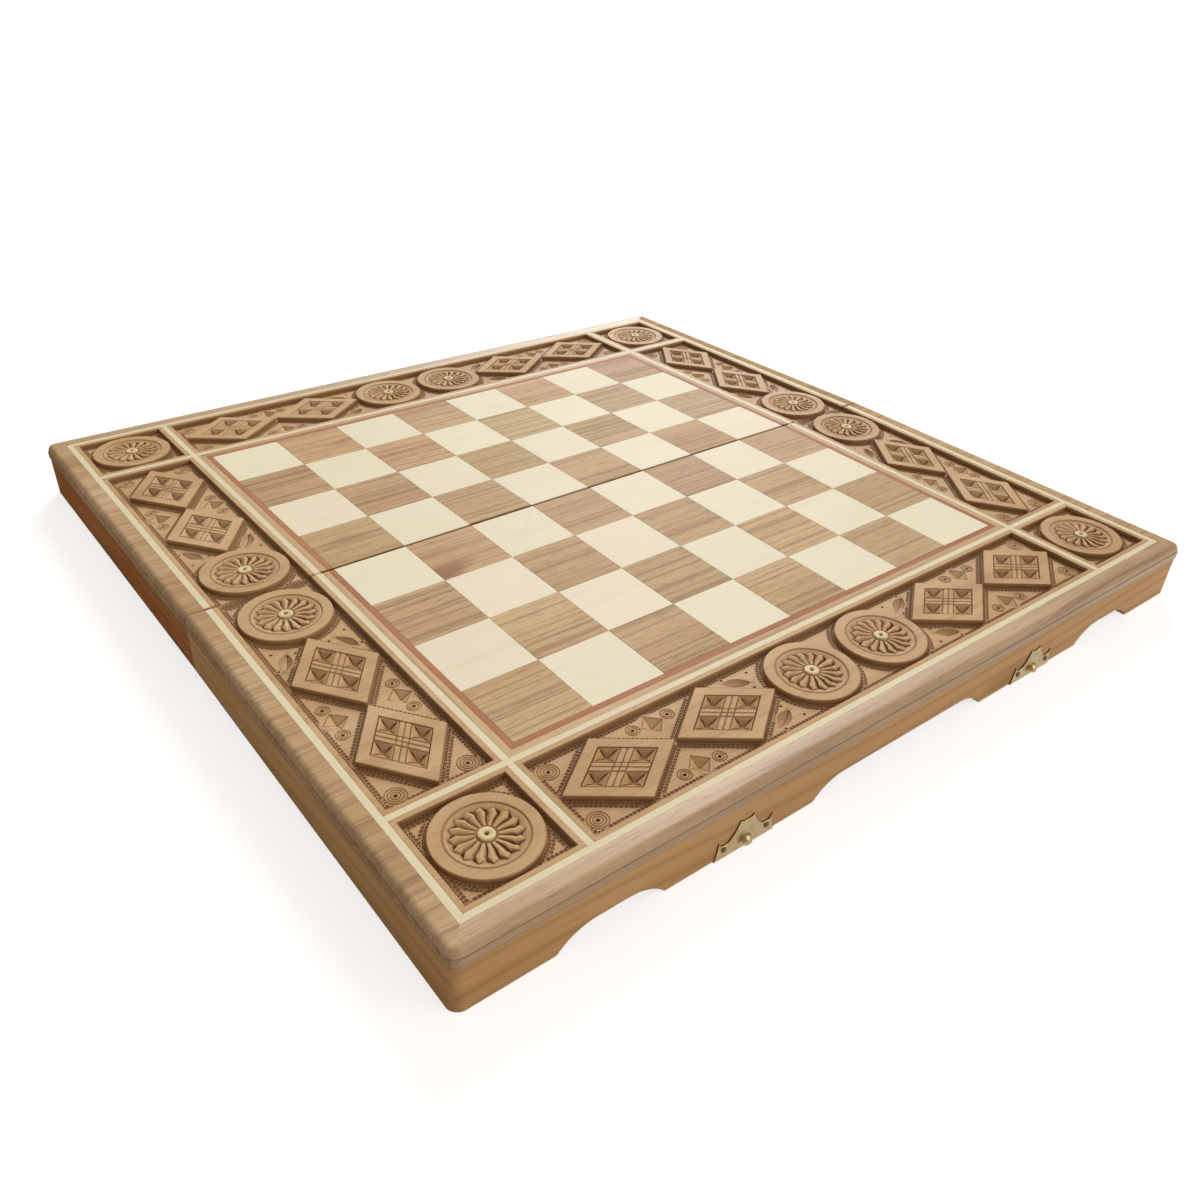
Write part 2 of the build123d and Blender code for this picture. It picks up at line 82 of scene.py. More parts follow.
# Carving
CARVING_DEPTH = 2.8
CARVED_EDGE = 0.35
ROSETTE_AT = 25.3
ROSETTE_RADIUS = 23.1
LOZENGES_AT = (80.3, 142.2)
LOZENGE_LENGTH = 60.6
LOZENGE_WIDTH = 44.2
LOZENGE_FIELD = 0.70
LOZENGE_BAR = 0.155
DIAMOND_ACROSS = 15.8
DIAMOND_HALF = 6.2
LEAF_AT = 59.5
LEAF_ACROSS = 15.6
LEAF_LONG = 7.2
LEAF_WIDE = 3.1
LEAF_TURN = 28.0
PETALS = 16
BEAD_RADIUS = 3.7
BEAD_SEAT = 1.8
BEAD_PROUD = 0.7
SLAB_TOP = 2.0
BASE_DROP = -0.5

# Marks in the sunk ground: places of chips and rings, and rows beside each edge
PAIR_AT = 10.0
PAIR_ACROSS = 17.3
PAIR_RINGS = (3.2, 2.0)
END_AT = (167.0, 17.0)
END_RINGS = (4.7, 3.4, 2.1)
DOTS_AT = ((50.0, 18.9), (54.6, 8.6), (64.2, 21.2))
PUNCH_RADIUS = 0.84
PUNCH_PITCH = 2 * PUNCH_RADIUS + 0.06
FIRST_ROW = 0.98
SECOND_ROW = 2.72
CLEAN_ROW = 3.75
MARK_GAP = 0.06

# Hinges
HINGE_AT = 150.0
HINGE_LENGTH = 45.0
KNUCKLES = 3
KNUCKLE_GAP = 0.2
BARREL_RADIUS = 3.0
HINGE_PIN_RADIUS = 1.5
LEAF_START = 3.3
LEAF_END = 9.2
LEAF_THICKNESS = 1.2
STRAP_END = 2.0
SCREW_AT = 14.0
SCREW_HEAD_RADIUS = 1.9
SCREW_SIDES = 24

# Clasps
CLASP_AT = 106.0
PLATE_WIDTH = 35.2
PLATE_HEIGHT = 16.8
PLATE_THICKNESS = 0.8
CATCH_RADIUS = 4.05
CATCH_SUNK = 1.1
CATCH_RISE = 3.2
NAIL_AT = 12.6
NAIL_RISE = 5.0
NAIL_HEAD_RADIUS = 1.5
NAIL_HEAD_HEIGHT = 0.9
PIVOT_RISE = 2.2
PIVOT_OUT = 2.2
HASP_KNUCKLE_RADIUS = 1.6
HASP_KNUCKLE = 8.2
HASP_KNUCKLE_GAP = 0.1
HASP_PIN_RADIUS = 0.6
HASP_BORE = HASP_PIN_RADIUS + 0.08
FLAP_WIDTH = 14.4
FLAP_LENGTH = 18.6
FLAP_THICKNESS = 0.8
FLAP_BACK = 0.2
FLAP_START = 1.95
WINDOW_HALF = 4.7
WINDOW_START = 4.7
WINDOW_END = 10.1

# Places that follow
FIELD = SQUARE * CELLS / 2
RED_OUT = FIELD + RED_BAND
BANDS_OUT = RED_OUT + WALNUT_BAND
PANEL_IN = BANDS_OUT + INLAY
PANEL_WIDTH = CARVED_WIDTH + 2 * PANEL_MARGIN
PANEL_OUT = PANEL_IN + PANEL_WIDTH
ROW = (PANEL_IN + PANEL_OUT) / 2
MOULDING_IN = PANEL_OUT + INLAY
OUTER = MOULDING_IN + MOULDING
STRAIGHT = OUTER - CORNER_RADIUS
WALL_OUT = OUTER - WALL_SETBACK
CASE_HEIGHT = WALL_HEIGHT + TOP_THICKNESS
TILE_FOOT = CASE_HEIGHT - TILE_THICKNESS
GROUND = TOP_THICKNESS - CARVING_DEPTH
LOZENGE_REACH = LOZENGE_LENGTH * LOZENGE_WIDTH / 2 / hypot(LOZENGE_LENGTH, LOZENGE_WIDTH)
RECESSES = ((0, CENTRE_RECESS), (-SIDE_RECESS_AT, SIDE_RECESS), (SIDE_RECESS_AT, SIDE_RECESS))
SLOPE = -radians(fold_joint["range_deg"][0]) / 2
FOLD_RISE = fold_joint["pos_m"][2]
SIDES = (-1, 1)


def shift(x, y, z=0):
    return Matrix.Translation((x, y, z))


def leaf_matrix(half):
    """Leaf frame in millimetres to the row frame in metres."""
    lift = shift(0, 0, FOLD_RISE)
    scale = Matrix.Scale(MM, 4)
    if half == "far":
        return lift @ Matrix.Rotation(-SLOPE, 4, "X") @ scale
    return lift @ Matrix.Rotation(SLOPE, 4, "X") @ Matrix.Rotation(pi, 4, "Z") @ scale


def side_word(half, side):
    """Word for a side of a half, seen in the row frame."""
    return "right" if (side > 0) == (half == "far") else "left"


# Shaders

def linear(rgb):
    """Linear colour of an sRGB colour written as 0 to 255."""
    def channel(value):
        share = value / 255
        return share / 12.92 if share <= 0.04045 else ((share + 0.055) / 1.055) ** 2.4
    return tuple(channel(value) for value in rgb) + (1.0,)


class Graph:
    """Shader nodes of one material or world."""

    def __init__(self, owner):
        owner.use_nodes = True
        self.tree = owner.node_tree
        self.tree.nodes.clear()

    def node(self, kind, inputs=None, **settings):
        """Outputs of a new node. Inputs that are sockets are linked, other values are set."""
        made = self.tree.nodes.new("ShaderNode" + kind)
        for key, value in settings.items():
            setattr(made, key, value)
        for key, value in (inputs or {}).items():
            if isinstance(value, bpy.types.NodeSocket):
                self.tree.links.new(value, made.inputs[key])
            else:
                made.inputs[key].default_value = value
        return made.outputs

    def math(self, operation, a, b=0.0, c=0.0, clamp=False):
        return self.node("Math", {0: a, 1: b, 2: c}, operation=operation, use_clamp=clamp)[0]

    def times(self, a, b):
        return self.math("MULTIPLY", a, b)

    def vary(self, base, *parts, clamp=False):
        """Base value plus weighted noises, each taken about its middle."""
        total = base
        for number, (noise, weight) in enumerate(parts):
            centred = self.math("SUBTRACT", noise, 0.5)
            last = clamp and number == len(parts) - 1
            total = self.math("MULTIPLY_ADD", centred, weight, total, clamp=last)
        return total

    def step(self, value, low, high):
        """Smooth mask that rises from 0 to 1 between two values."""
        return self.node("MapRange", {0: value, 1: low, 2: high}, interpolation_type="SMOOTHSTEP")[0]

    def vector(self, operation, a, b):
        return self.node("VectorMath", {0: a, 1: b}, operation=operation)[0]

    def combine(self, x, y, z):
        return self.node("CombineXYZ", {0: x, 1: y, 2: z})[0]

    def mix(self, share, a, b):
        return self.node("Mix", {0: share, 6: a, 7: b}, data_type="RGBA")[2]

    def tint(self, colour, mask, strength, tone):
        """Colour turned towards a tone where the mask is."""
        return self.mix(self.times(mask, strength), colour, tone)

    def ramp(self, value, stops):
        """Colour ramp through (place, sRGB colour) stops."""
        colour = self.node("ValToRGB", {0: value})[0]
        elements = colour.node.color_ramp.elements
        while len(elements) < len(stops):
            elements.new(0.5)
        for element, (place, rgb) in zip(elements, stops):
            element.position = place
            element.color = linear(rgb)
        return colour

    def attribute(self, name):
        return self.node("Attribute", attribute_name=name)["Fac"]

    def noise(self, place, along, across, detail=2.0, roughness=0.5):
        """Noise drawn out along the grain: cells per metre along it and across it."""
        scaled = self.vector("MULTIPLY", place, (along, across, across))
        return self.node("TexNoise", {"Vector": scaled, "Scale": 1.0, "Detail": detail,
                                      "Roughness": roughness})[0]

    def bump(self, height, strength, distance):
        return self.node("Bump", {"Height": height, "Strength": strength, "Distance": distance})[0]


def new_material(name):
    material = bpy.data.materials.new(name)
    return material, Graph(material)


def grain_coordinates(graph, grain):
    """Object coordinates with X turned along the grain, shifted by the piece's own seed."""
    place = graph.node("TexCoord")["Object"]
    seed = graph.attribute("seed")
    x, y, z = graph.node("SeparateXYZ", {0: place})
    if grain == "y":
        x, y = y, x
    elif grain == "frame":
        sideways = graph.math("SUBTRACT", graph.math("ABSOLUTE", x), graph.math("ABSOLUTE", y))
        turned = graph.math("GREATER_THAN", sideways, 0.0)
        x, y = (graph.node("Mix", {0: turned, 2: a, 3: b})[0] for a, b in ((x, y), (y, x)))
    away = graph.combine(*(graph.times(seed, reach) for reach in (3.7, 1.3, 2.1)))
    return graph.vector("ADD", graph.combine(x, y, z), away)


def wood(name, tones, grain="x", patch=0.5, lines=0.5, pitch=0.007, thin=0.3, figure=0.0, ring=0.011,
         sway=0.7, fibre=(16.0, 800.0), pores=0.3, knots=0.0, roughness=0.5, sheen=0.12, stain_and_shade=None,
         tile_tone=0.0, ribs=0.0):
    """Varnished wood: slow changes of tone, darker bands and thin lines along the grain, fibres and
    pores. ribs adds close straight lines, figure the swaying growth rings of a flat-sawn board."""
    material, graph = new_material(name)
    place = grain_coordinates(graph, grain)
    bend = graph.times(graph.math("SUBTRACT", graph.noise(place, 5.0, 14.0), 0.5), 0.016)
    wavy = graph.vector("ADD", place, graph.combine(0.0, bend, bend))
    slow = graph.noise(place, 4.0, 18.0, 3.0)
    bands = graph.noise(wavy, 2.2, 0.5 / pitch, 4.0, 0.65)
    fibres = graph.noise(wavy, *fibre, 4.0, 0.62)
    value = graph.vary(0.52, (slow, patch * 1.6), (fibres, 0.45), (bands, lines * 1.6), clamp=True)
    colour = graph.ramp(value, list(zip((0.15, 0.5, 0.85), tones)))
    dark = linear([0.62 * channel for channel in tones[0]])
    deep = linear([0.82 * channel for channel in tones[0]])
    narrow = graph.noise(wavy, 2.6, 1.5 / pitch, 1.0)
    colour = graph.tint(colour, graph.step(narrow, 0.60, 0.70), thin, deep)
    if ribs:
        straight = graph.noise(place, 1.2, 400.0, 2.0, 0.6)
        colour = graph.tint(colour, graph.step(straight, 0.50, 0.64), ribs, deep)
    if figure:
        _, y, z = graph.node("SeparateXYZ", {0: place})
        phase = graph.times(graph.math("ADD", y, z), 2 * pi / ring)
        swing = graph.noise(place, 3.0, 13.0, 1.0)
        phase = graph.math("MULTIPLY_ADD", swing, 2 * pi * sway * 8, phase)
        wave = graph.math("MULTIPLY_ADD", graph.math("SINE", phase), 0.5, 0.5)
        colour = graph.tint(colour, graph.math("POWER", wave, 5.0), figure, deep)
    if knots:
        spots = graph.noise(place, 11.0, 30.0, 1.0)
        colour = graph.tint(colour, graph.step(spots, 0.66, 0.78), knots, linear((140, 92, 54)))
    speck = graph.step(graph.noise(place, 120.0, 1700.0, 1.0), 0.60, 0.72)
    colour = graph.tint(colour, speck, pores, dark)
    if tile_tone:
        seed = graph.attribute("seed")
        other = graph.math("FRACT", graph.times(seed, 7.31))
        colour = graph.node("HueSaturation", {"Hue": graph.vary(0.5, (other, 0.016)), "Color": colour,
                                              "Value": graph.vary(1.0, (seed, tile_tone))})[0]
    # Darkened towards this tone where the mesh's darkening attributes say so: painted shade in gaps, creases,
    # grooves, pits and recesses, and real dark joints round the dark tiles.
    if stain_and_shade:
        depth = graph.math("MAXIMUM", graph.attribute("stain_and_shade"), graph.attribute("shade"), clamp=True)
        colour = graph.mix(depth, colour, linear(stain_and_shade))
    relief = graph.math("SUBTRACT", fibres, graph.times(speck, 0.8))
    shader = graph.node("BsdfPrincipled", {"Base Color": colour, "Specular IOR Level": sheen,
                                           "Roughness": graph.vary(roughness, (fibres, 0.22)),
                                           "Normal": graph.bump(relief, 0.22, 0.0003)})[0]
    graph.node("OutputMaterial", {0: shader})
    return material


def brass(name, tone, roughness):
    """Aged brass: worn bright patches, dull brown patches and fine scratches, and painted shade where faces
    carry shade.
    """
    material, graph = new_material(name)
    place = graph.node("TexCoord")["Object"]
    cloud = graph.node("TexNoise", {"Vector": place, "Scale": 260.0, "Detail": 2.0})[0]
    fine = graph.noise(place, 300.0, 2600.0)
    dull = [0.93 * channel for channel in tone]
    colour = graph.ramp(cloud, [(0.35, dull), (0.6, tone)])
    # Painted shade on the plates' edges and round their holes
    colour = graph.mix(graph.attribute("shade"), colour, linear((60, 40, 22)))
    rough = graph.vary(roughness, (cloud, -0.2), (fine, 0.1))
    shader = graph.node("BsdfPrincipled", {"Base Color": colour, "Roughness": rough, "Metallic": 1.0,
                                           "Normal": graph.bump(fine, 0.1, 0.0001)})[0]
    graph.node("OutputMaterial", {0: shader})
    return material


# Tones run from the darkest streaks to the lightest
DARK_TONES = ((166, 123, 79), (203, 166, 120), (218, 186, 141))
PALE_TONES = ((235, 217, 182), (240, 227, 194), (244, 233, 202))
INLAY_TONES = ((220, 202, 158), (231, 215, 176), (237, 223, 188))
BEAD_TONES = ((218, 194, 142), (232, 208, 158), (240, 220, 174))
FRAME_TONES = ((172, 128, 84), (202, 163, 116), (218, 184, 138))
EDGE_TONES = ((160, 123, 86), (200, 165, 124), (220, 190, 150))
RED_TONES = ((158, 100, 68), (182, 124, 88), (194, 140, 104))
CASE_TONES = ((188, 136, 86), (214, 166, 113), (225, 182, 132))
RED_CASE_TONES = ((144, 84, 44), (186, 120, 72), (206, 146, 96))
LINING_TONES = ((176, 142, 96), (196, 164, 118), (210, 182, 138))
# Tone of painted shade in gaps: the fold between the halves, the moulding's sunk line and its joint with the
# wall
GAP_SHADE = (80, 44, 30)

# The dark tone at the end of each wood's settings is that of real dark joints and of painted shade in gaps,
# creases, grooves, pits and recesses
MATERIALS = {
    "dark_squares": wood("dark_square_wood", DARK_TONES, patch=0.4, lines=0.25, pitch=0.005, thin=0.14,
                         pores=0.45, fibre=(45.0, 900.0), knots=0.7, tile_tone=0.16, ribs=0.5, sheen=0.06,
                         stain_and_shade=(104, 64, 42)),
    "light_squares": wood("light_square_wood", PALE_TONES, patch=0.2, lines=0.25, thin=0.05, pores=0.04,
                          tile_tone=0.03, sheen=0.08, stain_and_shade=(150, 116, 80)),
    "red": wood("red_strip_wood", RED_TONES, grain="frame", lines=0.2, thin=0.1, pores=0.2, sheen=0.04,
                stain_and_shade=GAP_SHADE),
    "walnut": wood("brown_strip_wood", FRAME_TONES, grain="frame", patch=0.7, pores=0.2, stain_and_shade=GAP_SHADE),
    "inlay": wood("inlay_wood", INLAY_TONES, grain="frame", lines=0.2, thin=0.05, pores=0.05,
                  stain_and_shade=(120, 84, 50)),
    "bead": wood("bead_wood", BEAD_TONES, pores=0.1, roughness=0.42, sheen=0.06, stain_and_shade=(120, 80, 46)),
    "carving": wood("carved_wood", FRAME_TONES, lines=0.4, pitch=0.009, thin=0.15, pores=0.15, sheen=0.08,
                    knots=0.25, stain_and_shade=(112, 62, 30)),
    "moulding": wood("moulding_wood", EDGE_TONES, patch=0.7, lines=0.6, thin=0.4, pores=0.25,
                     roughness=0.36, sheen=0.34, stain_and_shade=GAP_SHADE),
    "moulding_side": wood("moulding_wood_side", EDGE_TONES, lines=0.4, pitch=0.005, thin=0.2, pores=0.2,
                          sheen=0.0, ribs=0.3, stain_and_shade=GAP_SHADE),
    "case_x": wood("case_wood_long", CASE_TONES, patch=0.6, lines=0.3, pitch=0.016, thin=0.08,
                   figure=0.35, ring=0.013, sway=0.5, pores=0.12, knots=0.3, sheen=0.06),
    "case_y": wood("case_wood_side", CASE_TONES, grain="y", patch=0.7, lines=0.4, thin=0.15, figure=0.25,
                   pores=0.12, sheen=0.0),
    "case_red": wood("case_wood_red", RED_CASE_TONES, grain="y", patch=0.9, thin=0.15, figure=0.3,
                     pores=0.15, sheen=0.0),
    "lining": wood("lining_wood", LINING_TONES, pores=0.2, roughness=0.6, sheen=0.15),
    "brass": brass("aged_brass", (184, 160, 116), 0.32),
    "dark_brass": brass("dull_brass", (120, 100, 74), 0.45),
}


# Plans

def rectangle(x0, y0, x1, y1):
    return [(x0, y0), (x1, y0), (x1, y1), (x0, y1)]


def disc(radius, count, centre=(0, 0), turn=0.0):
    return [(centre[0] + radius * cos(turn + 2 * pi * k / count),
             centre[1] + radius * sin(turn + 2 * pi * k / count)) for k in range(count)]


def circle(radius, count, z, stain_and_shade=0.0, centre=(0, 0), turn=0.0):
    return [(x, y, z, stain_and_shade) for x, y in disc(radius, count, centre, turn)]


def polar(radius, angle, z, stain_and_shade=0.0):
    return radius * cos(radians(angle)), radius * sin(radians(angle)), z, stain_and_shade


def runs(loop):
    """Each point of a closed loop with the one after it."""
    return zip(loop, loop[1:] + loop[:1])


def inside_plan(x, y, outline):
    crossings = 0
    for (x0, y0), (x1, y1) in runs(outline):
        if (y0 > y) != (y1 > y) and x < x0 + (y - y0) / (y1 - y0) * (x1 - x0):
            crossings += 1
    return crossings % 2 == 1


def inward(a, b):
    """Unit normal to the left of the run from a to b."""
    run = Vector((b[0] - a[0], b[1] - a[1])).normalized()
    return Vector((-run.y, run.x))


def moved_corner(before, spot, after, first, second):
    """Corner moved in by a distance from the run before it and from the run after it."""
    one = inward(before, spot)
    two = inward(spot, after)
    turn = one.x * two.y - one.y * two.x
    if abs(turn) < 1e-3:
        return spot[0] + one.x * first, spot[1] + one.y * first
    return (spot[0] + (first * two.y - second * one.y) / turn,
            spot[1] + (second * one.x - first * two.x) / turn)


def inset(plan, distances):
    """Plan with each run moved in by its own distance."""
    return [moved_corner(plan[n - 1], spot, plan[(n + 1) % len(plan)], distances[n - 1], distances[n])
            for n, spot in enumerate(plan)]


# Meshes

class Body:
    """Points and faces of one piece in millimetres. Points and faces carry how dark they are painted, as real
    dark joints and as painted shade in gaps, creases, grooves and recesses, and faces the seed of the wood
    that they are cut from."""

    def __init__(self):
        self.points = []
        self.stains_and_shades = []
        self.faces = []
        self.seeds = []
        self.shades = []

    def point(self, x, y, z, stain_and_shade=0.0):
        self.points.append(Vector((x, y, z)))
        self.stains_and_shades.append(stain_and_shade)
        return len(self.points) - 1

    def loop(self, places, z, stain_and_shade=0.0):
        return [self.point(x, y, z, stain_and_shade) for x, y in places]

    def face(self, *corners, seed=0.0, shade=0.0):
        self.faces.append(tuple(corners))
        self.seeds.append(seed)
        self.shades.append(shade)

    def add(self, other, place=None):
        """Take over another body, moved by a matrix."""
        start = len(self.points)
        self.points += [place @ point if place else point for point in other.points]
        self.stains_and_shades += other.stains_and_shades
        self.faces += [tuple(start + corner for corner in face) for face in other.faces]
        self.seeds += other.seeds
        self.shades += other.shades

    def ring_band(self, low, high, seed=0.0, shade=0.0):
        """Quads between two closed loops of as many points."""
        for (a, b), (c, d) in zip(runs(low), runs(high)):
            self.face(a, b, d, c, seed=seed, shade=shade)

    def ring_bands(self, rings, seed=0.0):
        for low, high in zip(rings, rings[1:]):
            self.ring_band(low, high, seed)

    def cap(self, rings, seed=0.0):
        """Faces over the first and the last ring."""
        self.face(*rings[0], seed=seed)
        self.face(*reversed(rings[-1]), seed=seed)

    def plan(self, spots):
        return [tuple(self.points[spot].xy) for spot in spots]

    def fill(self, loops):
        """Flat triangles inside the first loop and outside the others."""
        spots = sum(loops, [])
        edges = []
        for loop in loops:
            start = len(edges)
            edges += [(start + k, start + (k + 1) % len(loop)) for k in range(len(loop))]
        flat = [self.points[spot].xy for spot in spots]
        holes = [self.plan(loop) for loop in loops[1:]]
        _, _, faces, origins, _, _ = delaunay_2d_cdt(flat, edges, [], 1, 1e-6)
        for face in faces:
            corners = [spots[origins[corner][0]] for corner in face]
            middle = sum((self.points[spot] for spot in corners), Vector()) / len(corners)
            if not any(inside_plan(middle.x, middle.y, hole) for hole in holes):
                self.face(*corners)


def make_object(name, body, half, finish, replaces, sharp=32.0, body_name=None):
    """Blender object from a body, riding on its half or CAD body and standing for its nodes."""
    mesh = bpy.data.meshes.new(name)
    mesh.from_pydata([tuple(point) for point in body.points], [], body.faces)
    for word, kind, values in (("stain_and_shade", "POINT", body.stains_and_shades), ("seed", "FACE", body.seeds),
                               ("shade", "FACE", body.shades)):
        mesh.attributes.new(word, "FLOAT", kind).data.foreach_set("value", values)
    work = bmesh.new()
    work.from_mesh(mesh)
    bmesh.ops.recalc_face_normals(work, faces=work.faces)
    work.to_mesh(mesh)
    work.free()
    mesh.transform(leaf_matrix(half))
    mesh.shade_smooth()
    mesh.set_sharp_from_angle(angle=radians(sharp))
    mesh.materials.append(MATERIALS[finish])
    piece = bpy.data.objects.new(name, mesh)
    bpy.context.scene.collection.objects.link(piece)
    body_name = body_name or half + "_half"
    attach(piece, body_name)
    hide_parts(*replaces)


def half_object(half, name, body, finish, node, sharp=32.0):
    """Piece of one half, named with the half's word like the node that it stands for."""
    make_object(half + "_" + name, body, half, finish, [half + "_" + node], sharp)


# Squares, bands and inlays

def fold_plan(outline, bevels):
    """Plan and bevels of its runs, with a stop behind the rounded edge on each run off the fold."""
    stop = FOLD + FOLD_ROUNDING + 0.15
    at_fold = FOLD + 0.01
    plan = []
    radii = []
    for (a, b), bevel in zip(runs(outline), bevels):
        plan.append(a)
        radii.append(FOLD_ROUNDING if max(a[1], b[1]) < at_fold else bevel)
        if min(a[1], b[1]) < at_fold < stop < max(a[1], b[1]):
            share = (stop - a[1]) / (b[1] - a[1])
            plan.append((a[0] + (b[0] - a[0]) * share, stop))
            radii.append(bevel)
    return plan, radii


def prism(body, outline, z0, z1, seed=0.0, bevel=0.1, stain_and_shade=None, middle=None, joint=0.0):
    """Block over a plan that runs counter-clockwise: upper edges softened, the one on the fold round.
    bevel is one number, or one for each run of the plan. joint is how dark the rim of the top is."""
    plan, radii = fold_plan(outline, bevel if isinstance(bevel, tuple) else (bevel,) * len(outline))
    steps = 5 if FOLD_ROUNDING in radii else 1
    stain_and_shade = stain_and_shade or (lambda x, y, z: 0.0)
    levels = [z0, middle] if middle else [z0]
    loops = [[body.point(x, y, z, stain_and_shade(x, y, z)) for x, y in plan] for z in levels]
    for k in range(steps + 1):
        angle = pi / 2 * k / steps
        loop = []
        for n, (x, y) in enumerate(inset(plan, [radius * (1 - cos(angle)) for radius in radii])):
            z = z1 - max(radii[n - 1], radii[n]) * (1 - sin(angle))
            loop.append(body.point(x, y, z, stain_and_shade(x, y, z)))
        loops.append(loop)
    for spot in loops[-1]:
        body.stains_and_shades[spot] = max(joint, body.stains_and_shades[spot])
    loops.append(body.loop(inset(plan, [radius + JOINT for radius in radii]), z1))
    body.ring_bands(loops, seed)
    body.cap(loops[::-1], seed)


def fold_shade(x, y, z):
    """Painted shade at the foot of the rounded edge along the fold, where it turns down into the gap."""
    return 0.9 if y < FOLD + 0.3 and z < CASE_HEIGHT - 0.3 else 0.0


def squares(half, parity, name):
    """Sixteen tiles of one colour on one half, each with its own cut of wood."""
    body = Body()
    draw = random.Random(half + name)
    for row in range(CELLS // 2):
        for column in range(CELLS):
            if (row + column) % 2 == parity:
                x = column * SQUARE - FIELD
                outline = rectangle(x, max(row * SQUARE, FOLD), x + SQUARE, (row + 1) * SQUARE)
                prism(body, outline, TILE_FOOT, CASE_HEIGHT, draw.random(), 0.12, fold_shade,
                      joint=0.5 if parity == 0 else 0.0)
    half_object(half, name + "_tiles", body, name, name, sharp=20.0)


def mitred(body, low, high, z0, draw):
    """Three strips round the field between two distances from the middle, mitred at the corners."""
    strips = [[(low, low), (high, high), (-high, high), (-low, low)],
              [(low, FOLD), (high, FOLD), (high, high), (low, low)],
              [(-high, FOLD), (-low, FOLD), (-low, low), (-high, high)]]
    for outline in strips:
        prism(body, outline, z0, CASE_HEIGHT, draw.random(), 0.1, fold_shade)


def bands(half):
    """Red and brown strips, and the pale inlays between and outside the panels."""
    draw = random.Random(half + "_bands")
    for name, low, high, z0, finish, slot in (
            ("red_band", FIELD, RED_OUT, TILE_FOOT, "red", "red_wood"),
            ("walnut_band", RED_OUT, BANDS_OUT, TILE_FOOT, "walnut", "dark_wood"),
            ("outer_inlay", PANEL_OUT, MOULDING_IN, WALL_HEIGHT, "inlay", "pale_wood")):
        body = Body()
        mitred(body, low, high, z0, draw)
        half_object(half, name + "_strips", body, finish, name, sharp=20.0)
    body = Body()
    low, high, end = BANDS_OUT, PANEL_IN, PANEL_OUT
    boxes = [(-end, low, end, high)]
    for side in SIDES:
        x0, x1 = sorted((side * low, side * high))
        boxes += [(x0, FOLD, x1, low), (x0, high, x1, end)]
    for box in boxes:
        prism(body, rectangle(*box), WALL_HEIGHT, CASE_HEIGHT, draw.random())
    half_object(half, "inner_inlay_strips", body, "inlay", "inner_inlay", sharp=20.0)


# Sweeps round the outside of a half

def plan_point(station, distance):
    """Point of the left-to-right path round the outside at a distance in from the edge.

    A station is ("x", value) on the long side, ("y", side, value) on a side, or
    ("arc", side, angle) in a corner, the angle measured from the side face towards the long one.
    """
    reach = OUTER - distance
    radius = CORNER_RADIUS - distance
    kind = station[0]
    if kind == "x":
        return max(-reach, min(reach, station[1])) if radius < 0 else station[1], reach
    side = station[1]
    if kind == "y":
        return side * reach, min(station[2], reach) if radius < 0 else station[2]
    if radius <= 0:
        return side * reach, reach
    angle = radians(station[2])
    return side * (STRAIGHT + radius * cos(angle)), STRAIGHT + radius * sin(angle)


def corner_arc(side, start, end, steps=6):
    return [("arc", side, start + (end - start) * k / steps) for k in range(steps + 1)]


def long_stations(stops):
    middle = [("x", x) for x in stops if abs(x) < STRAIGHT - 0.01]
    return corner_arc(-1, 45, 90) + middle + corner_arc(1, 90, 45)


def side_stations(side):
    reach = [FOLD_ROUNDING * (1 - cos(radians(angle))) for angle in (0, 22, 42, 60, 76, 90)]
    return [("y", side, FOLD + y) for y in reach] + corner_arc(side, 0, 45)


def sweep(stations, profile, foot=None, fold=False):
    """Closed profile of (inset, height, painted shade) along stations; foot(x) lifts the lowest points."""
    body = Body()
    rings = []
    for station in stations:
        top = CASE_HEIGHT
        if fold and station[0] == "y":
            away = max(0.0, FOLD_ROUNDING - (station[2] - FOLD))
            top = CASE_HEIGHT - FOLD_ROUNDING + sqrt(FOLD_ROUNDING ** 2 - away ** 2)
        ring = []
        for distance, z, stain_and_shade in profile:
            x, y = plan_point(station, distance)
            lift = foot(x) if foot and z < WALL_HEIGHT / 2 else 0.0
            ring.append(body.point(x, y, min(z + lift, top), stain_and_shade))
        rings.append(ring)
    body.ring_bands(rings)
    body.cap(rings)
    return body


def moulding_profile():
    """Upright band, a sunk line, rounded crown, flat top and inner face. The third number of each point is
    painted shade: in the sunk line under the crown, where the wall meets the moulding, lightly over the band
    and at the inner edge.
    """
    crown = WALL_HEIGHT + BAND_HEIGHT
    points = [(MOULDING, WALL_HEIGHT, 0.0), (0.25, WALL_HEIGHT, 0.9), (0, WALL_HEIGHT + 0.25, 0.5),
              (0, WALL_HEIGHT + 0.8, 0.14), (0, crown - 0.35, 0.14), (0.25, crown - 0.1, 0.1),
              (CROWN_STEP, crown, 0.3), (CROWN_STEP + 0.1, crown + 0.15, 0.45),
              (CROWN_STEP, crown + 0.5, 0.1), (CROWN_STEP, CASE_HEIGHT - CROWN_RADIUS, 0.0)]
    steps = 9
    for k in range(1, steps + 1):
        angle = pi / 2 * k / steps
        points.append((CROWN_STEP + CROWN_RADIUS * (1 - cos(angle)),
                       CASE_HEIGHT - CROWN_RADIUS * (1 - sin(angle)), 0.0))
    return points + [(MOULDING - 0.08, CASE_HEIGHT, 0.05), (MOULDING, CASE_HEIGHT - 0.08, 0.2)]


def scallop(x):
    """Height of the long wall's rim at a place along it."""
    for centre, width in RECESSES:
        flat = width / 2 - RECESS_RUN
        away = abs(x - centre)
        if away <= flat:
            return RECESS_HEIGHT
        if away < width / 2:
            radius = (RECESS_RUN ** 2 + RECESS_HEIGHT ** 2) / (2 * RECESS_HEIGHT)
            return RECESS_HEIGHT - radius + sqrt(radius ** 2 - (away - flat) ** 2)
    return 0.0


